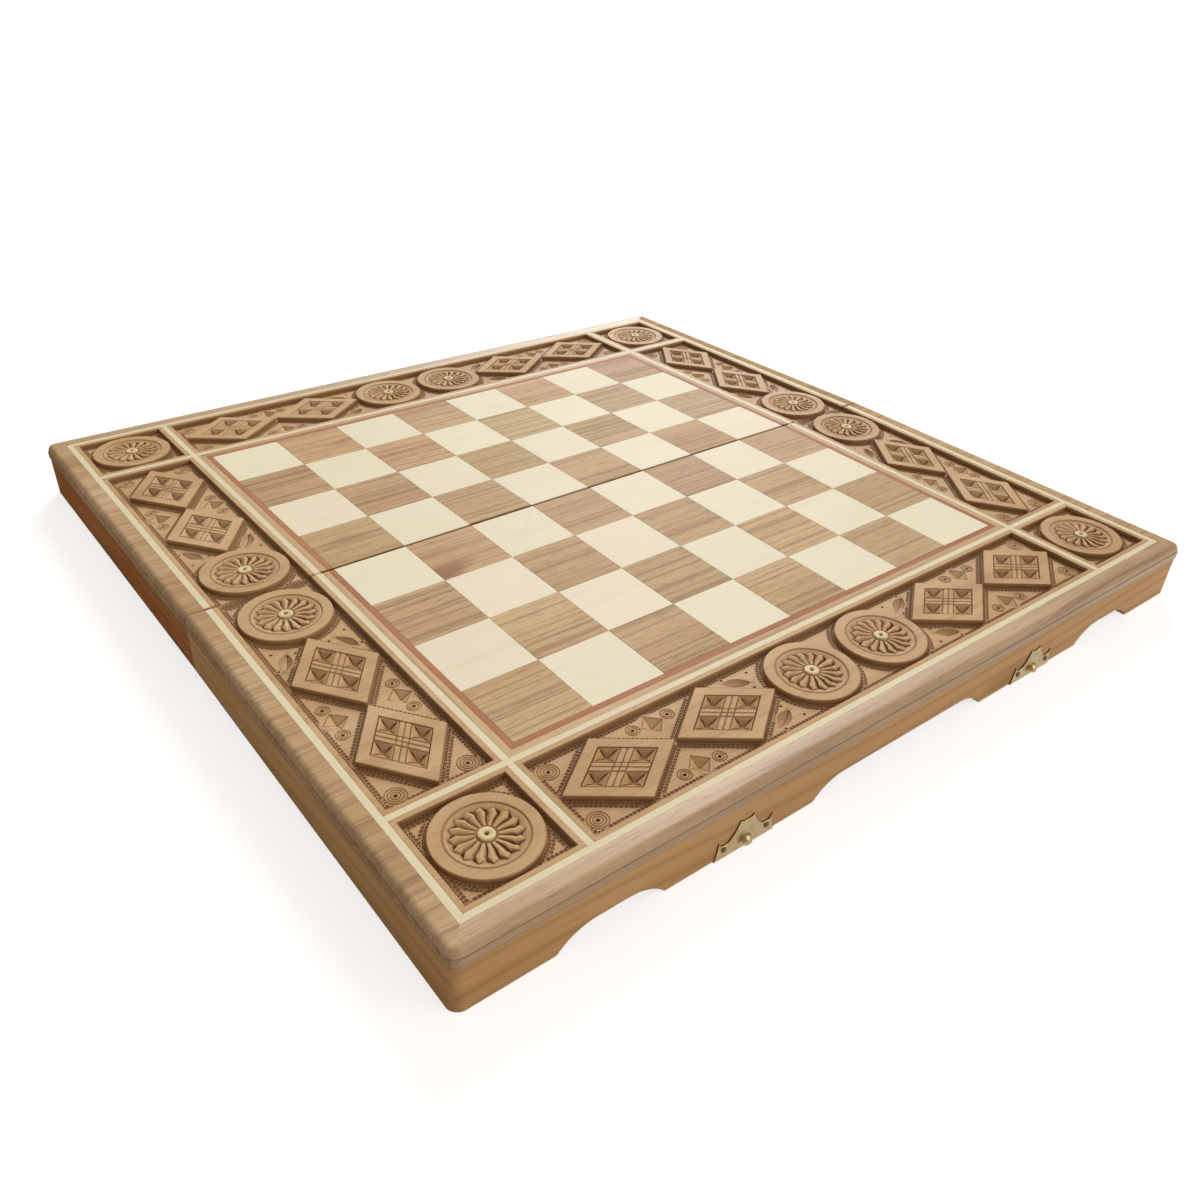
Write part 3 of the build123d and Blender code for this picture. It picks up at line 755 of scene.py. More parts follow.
def scallop_stops():
    steps = 14
    return sorted({round(centre + side * (width / 2 - RECESS_RUN * k / steps), 4)
                   for centre, width in RECESSES for side in SIDES for k in range(steps + 1)})


def wall_profile():
    inner = WALL_SETBACK + WALL
    bevel = 0.3
    # The third numbers are painted shade at the wall's foot and under the moulding; the case woods don't read
    # them.
    return [(inner, WALL_HEIGHT, 0.0), (inner, bevel, 0.0), (inner - bevel, 0, 0.0),
            (WALL_SETBACK + bevel, 0, 0.2), (WALL_SETBACK, bevel, 0.0),
            (WALL_SETBACK, WALL_HEIGHT - 0.8, 0.0), (WALL_SETBACK, WALL_HEIGHT, 0.3)]


def outside(half):
    """Walls and mouldings of one half."""
    wall = sweep(long_stations(scallop_stops()), wall_profile(), foot=scallop)
    half_object(half, "scalloped_wall", wall, "case_x", "long_wall")
    edge = sweep(long_stations([0]), moulding_profile())
    half_object(half, "long_edge", edge, "moulding", "long_moulding")
    for side in SIDES:
        word = side_word(half, side)
        finish = "case_red" if half == "far" and word == "left" else "case_y"
        wall = sweep(side_stations(side), wall_profile())
        half_object(half, word + "_board", wall, finish, word + "_wall")
        edge = sweep(side_stations(side), moulding_profile(), fold=True)
        half_object(half, word + "_edge", edge, "moulding_side", word + "_moulding")


# Carved motifs

class Relief:
    """Carved surface over a convex plan: every cut is a line of points with heights."""

    def __init__(self, outline):
        self.points = []
        self.edges = []
        self.rim = self.closed(outline)

    def point(self, x, y, z, stain_and_shade=0.0):
        self.points.append((x, y, z, stain_and_shade))
        return len(self.points) - 1

    def line(self, points):
        found = [self.point(*point) for point in points]
        self.edges += zip(found, found[1:])
        return found

    def closed(self, points):
        found = self.line(points)
        self.join(found[-1], found[0])
        return found

    def join(self, first, second):
        self.edges.append((first, second))

    def build(self, body, z0=0):
        """Triangulate into a body at a height and return where the rim's points are."""
        flat = [Vector(point[:2]) for point in self.points]
        made, _, faces, origins, _, _ = delaunay_2d_cdt(flat, self.edges, [], 0, 1e-5)
        index = []
        for spot, sources in zip(made, origins):
            if sources:
                _, _, z, stain_and_shade = self.points[sources[0]]
            else:
                _, _, z, stain_and_shade = min(self.points, key=lambda point: (point[0] - spot.x) ** 2
                                     + (point[1] - spot.y) ** 2)
            index.append(body.point(spot.x, spot.y, z + z0, stain_and_shade))
        for face in faces:
            body.face(*[index[corner] for corner in face])
        first = {source: place for place, sources in zip(index, origins) for source in sources}
        return [first[spot] for spot in self.rim]


def base(body, rim):
    """Wall down from a rim of points to the ground, its foot darkened with painted shade, and a floor below
    it.
    """
    foot, under = (body.loop(body.plan(rim), z, 0.7) for z in (0.0, BASE_DROP))
    body.ring_band(foot, rim)
    body.ring_band(under, foot)
    body.face(*reversed(under))


def bow(radius):
    """Angle of a petal's cut at a radius, against the tip of the petal that rises from it."""
    inner = -12.6 * (radius - 7.9) * (radius - 11.3) / 22.11
    middle = 7.5 * (radius - 4.6) * (radius - 11.3) / 11.22
    return inner + middle - 9.1 * (radius - 4.6) * (radius - 7.9) / 22.78


# Radius, half width and depth along a petal's cut, and radius and height along its crown
PETAL_CUTS = ((4.9, 0.7, -0.7), (5.9, 0.9, -1.05), (7.0, 1.15, -1.35), (8.1, 1.4, -1.55),
              (9.3, 1.65, -1.65), (10.5, 1.8, -1.75), (11.5, 1.7, -1.85))
PETAL_CROWN = ((6.0, -0.15), (7.6, 0.0), (9.2, 0.08), (10.8, 0.1))
# Radius, height and painted shade of the disc's rings, outside and inside the petals: darker in the groove
# and round the bead's seat
DISC_RINGS = ((18.0, -0.02, 0.05), (17.3, -0.6, 0.5), (16.5, -0.3, 0.08), (15.9, -0.45, 0.05))
SEAT_RINGS = ((4.35, -0.6, 0.2), (BEAD_RADIUS + 0.08, -0.9, 0.8), (BEAD_RADIUS + 0.02, -BEAD_SEAT, 1.0))


def rosette(draw):
    """Raised disc: flat ring, soft groove, shallow dish, and a whirl of pointed petals. Each petal
    falls gently to a bowed cut on one side, rises steeply on the other, and ends in a chip. Cuts, chips,
    the groove, the bead's seat and the disc's edge are darkened with painted shade."""
    body = Body()
    count = 96
    radius = ROSETTE_RADIUS - CARVED_EDGE
    relief = Relief(circle(radius, count, 0.0, 0.12))
    relief.closed(circle(radius - 0.5, count, 0.0))
    for radius, z, stain_and_shade in DISC_RINGS:
        relief.closed(circle(radius, 80, z, stain_and_shade))
    turns = [k * 360 / PETALS + draw.uniform(-0.8, 0.8) for k in range(PETALS)]
    tips, feet = [], []
    for turn in turns:
        reach = draw.uniform(-0.2, 0.2)
        tips.append(relief.point(*polar(14.8 + reach, turn, -0.12, 0.1)))
        feet.append(relief.point(*polar(15.2 + reach, turn + 0.4, -0.62, 0.55)))
        relief.join(tips[-1], feet[-1])
    for k, turn in enumerate(turns):
        heel = relief.point(*polar(13.3, turn - 14.0, -0.3, 0.1))
        heel_foot = relief.point(*polar(13.7, turn - 13.0, -0.72, 0.5))
        floor = relief.point(*polar(13.1, turn - 8.4, -2.2, 1.0))
        for first, second in ((heel, tips[k - 1]), (heel_foot, feet[k - 1]), (heel_foot, feet[k]),
                              (heel, heel_foot), (floor, heel), (floor, heel_foot), (floor, feet[k]),
                              (floor, tips[k])):
            relief.join(first, second)
        left, deep, right = [], [], []
        for radius, width, depth in PETAL_CUTS:
            angle = turn + bow(radius)
            left.append(polar(radius, angle - degrees(width / radius), 0.16 * depth))
            deep.append(polar(radius, angle, depth, 0.85))
            right.append(polar(radius, angle + degrees(0.28 / radius), -0.15))
        for points, end in ((left, heel), (deep, floor), (right, tips[k])):
            relief.join(relief.line(points)[-1], end)
        crown = [polar(radius, turn + bow(radius) + 6.5, height) for radius, height in PETAL_CROWN]
        relief.line(crown + [polar(12.4, turn + 0.5, 0.08), polar(13.8, turn + 0.2, -0.02)])
    for radius, z, stain_and_shade in SEAT_RINGS:
        relief.closed(circle(radius, 32, z, stain_and_shade))
    rim = relief.build(body, CARVING_DEPTH)
    out = ROSETTE_RADIUS / (ROSETTE_RADIUS - CARVED_EDGE)
    wide = [(body.points[spot].x * out, body.points[spot].y * out) for spot in rim]
    shoulder = body.loop(wide, CARVING_DEPTH - CARVED_EDGE, 0.35)
    body.ring_band(shoulder, rim)
    base(body, shoulder)
    return body


def lozenge(draw):
    """Raised lozenge: plain border, two grooved bars that cross, and a chip in each quarter, the grooves and
    chips darkened with painted shade.
    """
    body = Body()
    unit = hypot(LOZENGE_LENGTH, LOZENGE_WIDTH) / 4
    groove = 0.4 / unit
    field, bar = LOZENGE_FIELD, LOZENGE_BAR
    # Place across the lozenge, height and painted shade of each line of the grid
    positive = [(1.0, -0.35, 0.35), (1.0 - CARVED_EDGE / unit, 0.0, 0.1), (0.955, 0.0, 0.0),
                (field, 0.0, 0.0), (field - 0.8 * groove, -0.85, 1.0), (field - 2.0 * groove, -0.15, 0.0),
                (bar + 1.2 * groove, -0.2, 0.0), (bar, -0.7, 0.6), (bar - 1.2 * groove, -0.12, 0.0),
                (1.2 * groove, -0.12, 0.0)]
    scale = [(-value, z, dark) for value, z, dark in positive] + [(0.0, -0.65, 0.55)] + positive[::-1]
    limit = field - 1e-6

    def cut(value, other):
        """Depth and painted shade of a groove at a place along it: no groove runs into the border."""
        place, z, dark = value
        return (z, dark) if abs(place) > limit or abs(other[0]) < limit else (0.0, 0.0)

    grid = []
    for first in scale:
        row = []
        for second in scale:
            z1, dark1 = cut(first, second)
            z2, dark2 = cut(second, first)
            s, t = first[0], second[0]
            blunt = 0.985 if abs(s) > 0.99 and abs(t) > 0.99 else 1.0
            x = LOZENGE_LENGTH / 4 * (s + t) * blunt
            y = LOZENGE_WIDTH / 4 * (s - t) * blunt
            row.append(body.point(x, y, CARVING_DEPTH + min(z1, z2), max(dark1, dark2)))
        grid.append(row)
    for i in range(len(scale) - 1):
        for j in range(len(scale) - 1):
            corners = [grid[i][j], grid[i + 1][j], grid[i + 1][j + 1], grid[i][j + 1]]
            if min(scale[i + 1][0] - scale[i][0], scale[j + 1][0] - scale[j][0]) > 0.3:
                chip(body, corners, 3.0, (draw.uniform(-0.3, 0.3), draw.uniform(-0.3, 0.3)), 0.85)
            else:
                body.face(*corners)
    rim = grid[0] + [row[-1] for row in grid[1:]] + grid[-1][-2::-1] + [row[0] for row in grid[-2:0:-1]]
    base(body, rim)
    return body


def chip(body, corners, depth, aside, crease):
    """Chip of straight facets from a flat rim to one deep point, with painted shade along its creases and at
    its deep point.
    """
    places = [body.points[spot] for spot in corners]
    middle = sum(places, Vector()) / len(places)
    deepest = Vector((middle.x + aside[0], middle.y + aside[1], middle.z - depth))
    apex = body.point(*deepest, 0.5)
    for (first, second), (start, end) in zip(runs(corners), runs(places)):
        run = (end - start).normalized() * crease
        left = body.point(*(start.lerp(deepest, 0.3) + run), 0.2)
        right = body.point(*(end.lerp(deepest, 0.3) - run), 0.2)
        body.face(first, second, right)
        body.face(first, right, left)
        body.face(left, right, apex)
        body.face(first, left, apex, shade=0.9)
        body.face(second, apex, right, shade=0.9)


# Sunk ground

class Ground:
    """Sunk ground of one panel with everything that is cut or punched into it."""

    def __init__(self, x0, x1, draw):
        half = CARVED_WIDTH / 2
        self.x0, self.x1, self.half = x0, x1, half
        self.draw = draw
        # The ground's edge, where it meets the recess walls, takes painted shade
        self.relief = Relief([(x, y, 0, 0.6) for x, y in rectangle(x0, -half, x1, half)])
        self.taken = {}
        self.keep_out = []
        self.motifs = []

    def crease(self, corner, other, deepest):
        """Line on a facet beside a crease, so that the painted shade stays on the crease itself."""
        corner, other, deepest = Vector((*corner, 0)), Vector((*other, 0)), Vector(deepest)
        run = (other - corner).normalized() * 0.7
        self.relief.line([(*(corner.lerp(deepest, share) + run), 0.0) for share in (0.12, 0.88)])

    def pyramid(self, corners, aside, depth):
        """Chip of straight facets with painted shade along its creases and at its deep point."""
        found = self.relief.closed([(x, y, 0.0, 0.8) for x, y in corners])
        middle = sum((Vector(corner) for corner in corners), Vector((0, 0))) / len(corners)
        wide = [middle + (Vector(corner) - middle) * 1.055 for corner in corners]
        self.relief.closed([(x, y, 0.0, 0.0) for x, y in wide])
        deepest = (middle.x + aside[0], middle.y + aside[1], -depth)
        floor = self.relief.point(*deepest, 1.0)
        for k, spot in enumerate(found):
            self.relief.join(spot, floor)
            self.crease(corners[k], corners[k - 1], deepest)
            self.crease(corners[k], corners[(k + 1) % len(corners)], deepest)

    def diamond(self, x, y):
        half = DIAMOND_HALF
        self.pyramid([(x + half, y), (x, y + half), (x - half, y), (x, y - half)], (0.4, 0.5), 2.7)
        self.keep_out.append((x, y, half + 1.35, half + 1.35, 0.0))

    def leaf(self, x, y, turn):
        """Curved two-facet cut with painted shade in its valley."""
        c, s = cos(radians(turn)), sin(radians(turn))

        def spot(u, v, z=0.0, stain_and_shade=0.5):
            return x + u * c - v * s, y + u * s + v * c, z, stain_and_shade
        steps = 12
        upper, lower, valley, over, under, around = [], [], [], [], [], []
        for k in range(1, steps):
            share = 2 * k / steps - 1
            u = LEAF_LONG * share
            arch = 1 - share ** 2
            upper.append(spot(u, LEAF_WIDE * arch))
            lower.append(spot(u, -LEAF_WIDE * arch))
            around.append((u * 1.03, LEAF_WIDE * arch + 0.35))
            valley.append(spot(u, LEAF_WIDE * 0.2 * arch, -1.9 * arch, 1.0))
            if 1 < k < steps - 1:
                over.append(spot(u, LEAF_WIDE * 0.2 * arch + 0.4, -1.9 * arch + 0.3, 0.1))
                under.append(spot(u, LEAF_WIDE * 0.2 * arch - 0.4, -1.9 * arch + 0.2, 0.1))
        around += [(u, -v) for u, v in reversed(around)]
        self.relief.closed([spot(u, v, 0.0, 0.0) for u, v in around])
        self.relief.closed([spot(-LEAF_LONG, 0)] + upper + [spot(LEAF_LONG, 0)] + lower[::-1])
        for line in (valley, over, under):
            self.relief.line(line)
        self.keep_out.append((x, y, LEAF_LONG + 1.5, LEAF_WIDE + 1.5, turn))

    def rings(self, x, y, radii):
        """Circles pressed by a ring punch, and the hole in their middle, darkened with painted shade in their
        grooves and hole.
        """
        for radius in radii:
            for out, z, stain_and_shade in ((0.46, 0.0, 0.0), (0.0, -0.4, 0.55), (-0.46, 0.0, 0.0)):
                self.relief.closed(circle(radius + out, 24, z, stain_and_shade, (x, y)))
        self.pit(x, y, 1.05, 1.8, 10)
        self.keep_out.append((x, y, max(radii) + 1.1, max(radii) + 1.1, 0.0))

    def pit(self, x, y, radius, depth, count, rim=0.1, floor=0.9):
        turn = self.draw.uniform(0, 1)
        # Painted shade on the rim and, darkest, on the floor of the pit
        for reach, z, stain_and_shade in ((radius, 0.0, rim), (radius * 0.72, -depth * 0.4, floor)):
            self.relief.closed(circle(reach, count, z, stain_and_shade, (x, y), turn))
        self.relief.point(x, y, -depth, 1.0)

    def dot(self, x, y):
        self.pit(x, y, 0.8, 1.1, 8)
        self.keep_out.append((x, y, 1.6, 1.6, 0.0))

    def free(self, x, y, radius):
        """True, and the place is taken, where a mark of a radius fits between the others."""
        wall = radius + MARK_GAP
        if not (self.x0 + wall < x < self.x1 - wall and abs(y) < self.half - wall):
            return False
        if any(test(x, y, radius) for test in self.motifs):
            return False
        for cx, cy, long, wide, turn in self.keep_out:
            angle = radians(turn)
            u = (x - cx) * cos(angle) + (y - cy) * sin(angle)
            v = -(x - cx) * sin(angle) + (y - cy) * cos(angle)
            if (u / (long - 0.85 + radius)) ** 2 + (v / (wide - 0.85 + radius)) ** 2 < 1:
                return False
        cell = (int(x // 2), int(y // 2))
        for i in (-1, 0, 1):
            for j in (-1, 0, 1):
                for px, py, other in self.taken.get((cell[0] + i, cell[1] + j), ()):
                    if hypot(px - x, py - y) < radius + other + 0.04:
                        return False
        self.taken.setdefault(cell, []).append((x, y, radius))
        return True

    def punches(self, points):
        """Marks of a small ring punch: a circle darkened with painted shade round a raised dot."""
        for x, y in points:
            if self.free(x, y, PUNCH_RADIUS):
                turn = self.draw.uniform(0, 1)
                for share, z, stain_and_shade in ((1.0, 0.0, 0.42), (0.66, -0.5, 0.95), (0.3, -0.1, 0.35)):
                    self.relief.closed(circle(PUNCH_RADIUS * share, 8, z, stain_and_shade, (x, y), turn))

    def specks(self, points):
        """Small uneven pits, darkened with painted shade, where there is room for them."""
        for x, y in points:
            x += self.draw.uniform(-0.25, 0.25)
            y += self.draw.uniform(-0.25, 0.25)
            radius = self.draw.uniform(0.36, 0.55)
            if self.free(x, y, radius):
                self.pit(x, y, radius, self.draw.uniform(0.4, 0.7), 5, 0.38, 0.7)

    def clean(self, points, away=3.6):
        """Points free of painted shade outside the punched bands, which keep the bands' painted shade inside
        them.
        """
        for x, y in points:
            inside = self.x0 + away < x < self.x1 - away and abs(y) < self.half - away
            if inside and not any(test(x, y, away) for test in self.motifs) and self.free(x, y, 0.12):
                self.relief.point(x, y, 0.0, 0.0)


def along(points, spacing):
    """Points at even spacing along a closed polyline."""
    found = []
    for (x0, y0), (x1, y1) in runs(points):
        count = max(1, int(hypot(x1 - x0, y1 - y0) / spacing))
        for k in range(count):
            share = (k + 0.5) / count
            found.append((x0 + (x1 - x0) * share, y0 + (y1 - y0) * share))
    return found


def rosette_test(cx):
    return lambda x, y, radius: hypot(x - cx, y) < ROSETTE_RADIUS + radius + MARK_GAP


def lozenge_test(cx):
    return lambda x, y, radius: (abs(x - cx) / (LOZENGE_LENGTH / 2) + abs(y) / (LOZENGE_WIDTH / 2)
                                 < 1 + (radius + MARK_GAP) / LOZENGE_REACH)


def carve_ground(x0, x1, rosettes, lozenges, sides, draw):
    """Ground sheet of a panel: chips, rings and dots first, then the punched bands."""
    ground = Ground(x0, x1, draw)
    ground.motifs = [rosette_test(x) for x in rosettes] + [lozenge_test(x) for x in lozenges]
    between = sum(LOZENGES_AT) / 2
    for side in sides:
        for across in SIDES:
            ground.diamond(side * between, across * DIAMOND_ACROSS)
            ground.leaf(side * LEAF_AT, across * LEAF_ACROSS, side * across * LEAF_TURN)
            for way in SIDES:
                ground.rings(side * (between + way * PAIR_AT), across * PAIR_ACROSS, PAIR_RINGS)
            ground.rings(side * END_AT[0], across * END_AT[1], END_RINGS)
            for x, y in DOTS_AT:
                ground.dot(side * x, across * y)

    def row(away, spacing):
        """Places at a distance from the frame, then round each motif."""
        reach = ground.half - away
        places = along(rectangle(x0 + away, -reach, x1 - away, reach), spacing)
        radius = ROSETTE_RADIUS + away
        for x in rosettes:
            places += disc(radius, int(2 * pi * radius / spacing), (x, 0))
        grow = 1 + away / LOZENGE_REACH
        a, b = LOZENGE_LENGTH / 2 * grow, LOZENGE_WIDTH / 2 * grow
        for x in lozenges:
            places += along([(x + a, 0), (x, b), (x - a, 0), (x, -b)], spacing)
        return places

    ground.punches(row(FIRST_ROW, PUNCH_PITCH))
    ground.punches(row(SECOND_ROW, 1.15 * PUNCH_PITCH))
    ground.specks(row(SECOND_ROW, 0.8))
    ground.clean(row(CLEAN_ROW, 0.9))
    reach = int(ground.half)
    ground.clean([(x, y) for x in range(int(x0), int(x1), 3) for y in range(-reach, reach, 3)], 4.2)
    return ground.relief


# Carved panels

def margins(body, place, x0, x1, low, high):
    """Flat frame of a panel round its sunk ground, in the leaf frame."""
    half = PANEL_WIDTH / 2
    sunk = CARVED_WIDTH / 2
    strips = [[(x0, -half), (x1, -half), (high, -sunk), (low, -sunk)],
              [(low, sunk), (high, sunk), (x1, half), (x0, half)],
              [(high, -sunk), (x1, -half), (x1, half), (high, sunk)]]
    soft = [(0.1, 0.0, 0.18, 0.0), (0.18, 0.0, 0.1, 0.0), (0.0, 0.1, 0.0, 0.18)]
    if low > x0:
        strips.append([(x0, -half), (low, -sunk), (low, sunk), (x0, half)])
        soft.append((0.0, 0.18, 0.0, 0.1))
    back = place.inverted()
    rise = place.translation.z

    # Painted shade down the walls of the sunk ground, darker towards the ground, and a slightly darker tone
    # on the rest of the frame
    def stain_and_shade(x, y, z):
        spot = back @ Vector((x, y, rise))
        if not (abs(spot.y) < sunk + 0.22 and low - 0.22 < spot.x < high + 0.22):
            return 0.16
        drop = rise + TOP_THICKNESS - z
        return 0.1 if drop < 0.05 else 0.3 if drop < 0.4 else 0.75

    for outline, bevels in zip(strips, soft):
        plan = [tuple((place @ Vector((x, y, 0))).xy) for x, y in outline]
        prism(body, plan, rise + SLAB_TOP, rise + TOP_THICKNESS, 0.0, bevels, stain_and_shade, rise + GROUND)


def carved_panel(half, name, place, x0, x1, sides=(), open_start=False):
    """One panel: slab, sunk ground, flat margins and motifs. With no sides it is a corner's."""
    draw = random.Random(half + name)
    rosettes = [side * ROSETTE_AT for side in sides] or [0.0]
    lozenges = [side * reach for side in sides for reach in LOZENGES_AT]
    low = x0 if open_start else x0 + PANEL_MARGIN
    high = x1 - PANEL_MARGIN
    slab = Body()
    outline = rectangle(x0, -PANEL_WIDTH / 2, x1, PANEL_WIDTH / 2)
    foot, top = (slab.loop(outline, z) for z in (0, SLAB_TOP))
    slab.ring_band(foot, top)
    slab.cap([top, foot])
    rim = carve_ground(low, high, rosettes, lozenges, sides, draw).build(slab, GROUND)
    under = slab.loop(slab.plan(rim), SLAB_TOP)
    slab.ring_band(under, rim)
    slab.face(*reversed(under))
    body = Body()
    body.add(slab, place)
    margins(body, place, x0, x1, low, high)
    for motif, spots in ((rosette, rosettes), (lozenge, lozenges)):
        for x in spots:
            body.add(motif(draw), place @ shift(x, 0, GROUND))
    body.seeds = [draw.random()] * len(body.seeds)
    make_object(name + "_carving", body, half, "carving", [name], sharp=14.0)


def carvings(half):
    """The five carved panels of one half."""
    carved_panel(half, half + "_long_panel", shift(0, ROW, WALL_HEIGHT), -BANDS_OUT, BANDS_OUT, SIDES)
    reach = PANEL_WIDTH / 2
    for side in SIDES:
        name = half + "_" + side_word(half, side)
        upright = shift(side * ROW, 0, WALL_HEIGHT) @ Matrix.Rotation(pi / 2, 4, "Z")
        carved_panel(half, name + "_panel", upright, FOLD, BANDS_OUT, (1,), open_start=True)
        carved_panel(half, name + "_corner_panel", shift(side * ROW, ROW, WALL_HEIGHT), -reach, reach)


# Turned work

def lathe(profile, count, stains_and_shades=None):
    """Turned body from (radius, height) pairs, first and last on the axis."""
    body = Body()
    rings = []
    for (radius, z), stain_and_shade in zip(profile, stains_and_shades or [0.0] * len(profile)):
        rings.append(body.loop(disc(radius, count) if radius else [(0, 0)], z, stain_and_shade))
    for low, high in zip(rings, rings[1:]):
        for k in range(count):
            after = (k + 1) % count
            if len(low) == 1:
                body.face(low[0], high[k], high[after])
            elif len(high) == 1:
                body.face(low[k], low[after], high[0])
            else:
                body.face(low[k], low[after], high[after], high[k])
    return body


def beads(half):
    """Pale turned beads with a softly dished face and a pricked hole."""
    top = BEAD_SEAT + BEAD_PROUD
    radius = BEAD_RADIUS
    profile = [(0, 0), (radius, 0), (radius, top - 0.75), (radius - 0.15, top - 0.5),
               (radius - 0.5, top - 0.3), (radius - 1.0, top - 0.22), (2.0, top - 0.25),
               (1.3, top - 0.36), (0.9, top - 0.6), (0.6, top - 1.1), (0.3, top - 1.5), (0, top - 1.6)]
    # Painted shade at the bead's foot in its seat and down the pricked hole
    stains_and_shades = [0.5, 0.5, 0.3, 0.05, 0.0, 0.0, 0.0, 0.1, 0.4, 0.85, 1.0, 1.0]
    body = Body()
    for side in SIDES:
        for x, y in ((side * ROSETTE_AT, ROW), (side * ROW, ROSETTE_AT), (side * ROW, ROW)):
            body.add(lathe(profile, 36, stains_and_shades), shift(x, y, CASE_HEIGHT - BEAD_SEAT))
    half_object(half, "turned_beads", body, "bead", "rosette_beads", sharp=50.0)


def tube(radius, bore, x0, x1, count=24, bevel=0.15):
    """Knuckle or pin along X with softened ends. With no bore its ends are closed."""
    body = Body()
    sections = [(x0, radius - bevel), (x0 + bevel, radius), (x1 - bevel, radius), (x1, radius - bevel)]
    if bore:
        sections = [(x0, bore)] + sections + [(x1, bore)]
    rings = [[body.point(x, y, z) for y, z in disc(reach, count)] for x, reach in sections]
    body.ring_bands(rings)
    if bore:
        body.ring_band(rings[-1], rings[0])
    else:
        body.cap(rings)
    return body


# Brass, drawn on the long wall's outer face: X along the wall, Y up, Z outward

def on_wall(side):
    return Matrix(((-1, 0, 0, side * CLASP_AT), (0, 0, 1, WALL_OUT), (0, 1, 0, 0), (0, 0, 0, 1)))


def arc_through(start, middle, end, steps):
    """Points after the start on the arc through three points."""
    (ax, ay), (bx, by), (cx, cy) = start, middle, end
    d = 2 * (ax * (by - cy) + bx * (cy - ay) + cx * (ay - by))
    a, b, c = ax * ax + ay * ay, bx * bx + by * by, cx * cx + cy * cy
    ux = (a * (by - cy) + b * (cy - ay) + c * (ay - by)) / d
    uy = (a * (cx - bx) + b * (ax - cx) + c * (bx - ax)) / d
    radius = hypot(ax - ux, ay - uy)
    first, past, last = (atan2(y - uy, x - ux) for x, y in (start, middle, end))
    turn = (last - first) % (2 * pi)
    if (past - first) % (2 * pi) > turn:
        turn -= 2 * pi
    return [(ux + radius * cos(first + turn * k / steps),
             uy + radius * sin(first + turn * k / steps)) for k in range(1, steps + 1)]


def crown_outline(notch=()):
    """Plate with a flat lower edge, two side horns and a notched, two-horned crown."""
    half = PLATE_WIDTH / 2
    top = PLATE_HEIGHT
    side_horn = (0.89 * half, 0.60 * top)
    shoulder = (0.52 * half, 0.51 * top)
    horn = (0.22 * half, top)
    right = [(half, 0)]
    right += arc_through((half, 0), (0.92 * half, 0.30 * top), side_horn, 6)
    right += arc_through(side_horn, (0.72 * half, 0.44 * top), shoulder, 6)
    right += arc_through(shoulder, (0.36 * half, 0.70 * top), horn, 6)
    right += arc_through(horn, (0.11 * half, 0.93 * top), (0, 0.92 * top), 4)
    return right + [(-x, y) for x, y in reversed(right[:-1])] + list(notch)


def plate(outline, holes, z0, z1, bevel=0.18):
    """Flat plate with softened upper edges. Outline and holes run counter-clockwise."""
    body = Body()
    upper, lower = [], []
    for number, loop in enumerate([outline] + holes):
        low = body.loop(loop, z0)
        shoulder = body.loop(loop, z1 - bevel)
        top = body.loop(inset(loop, [-bevel if number else bevel] * len(loop)), z1)
        # Side faces take painted shade, a dark line round the plate and its holes
        body.ring_band(low, shoulder, shade=0.85)
        body.ring_band(shoulder, top)
        upper.append(top)
        lower.append(low)
    body.fill(upper)
    body.fill(lower)
    return body


def half_dome(radius, sunk, rise, height):
    """Stamped half dome on a plate, its flat side down."""
    body = Body()
    centre = height - sunk
    start = asin((sunk - 0.3) / radius)
    steps, turns = 8, 20
    rings = []
    for k in range(steps):
        angle = start + (pi / 2 - start) * k / steps
        rings.append([body.point(radius * cos(angle) * cos(pi * j / turns),
                                 rise + radius * cos(angle) * sin(pi * j / turns),
                                 centre + radius * sin(angle)) for j in range(turns + 1)])
    pole = body.point(0, rise, centre + radius)
    for low, high in zip(rings, rings[1:]):
        for j in range(turns):
            body.face(low[j], low[j + 1], high[j + 1], high[j])
    for j in range(turns):
        body.face(rings[-1][j], rings[-1][j + 1], pole)
    body.face(*[ring[0] for ring in rings], pole, *[ring[-1] for ring in reversed(rings)])
    body.face(*reversed(rings[0]))
    return body


def tack():
    """Dome head of a tack, and its shank."""
    z = PLATE_THICKNESS
    profile = [(0, z - 6.3), (0.6, z - 5.3), (0.6, z), (NAIL_HEAD_RADIUS, z)]
    steps = 5
    for k in range(1, steps + 1):
        angle = pi / 2 * k / steps
        profile.append((NAIL_HEAD_RADIUS * cos(angle) if k < steps else 0, z + NAIL_HEAD_HEIGHT * sin(angle)))
    return lathe(profile, 18)


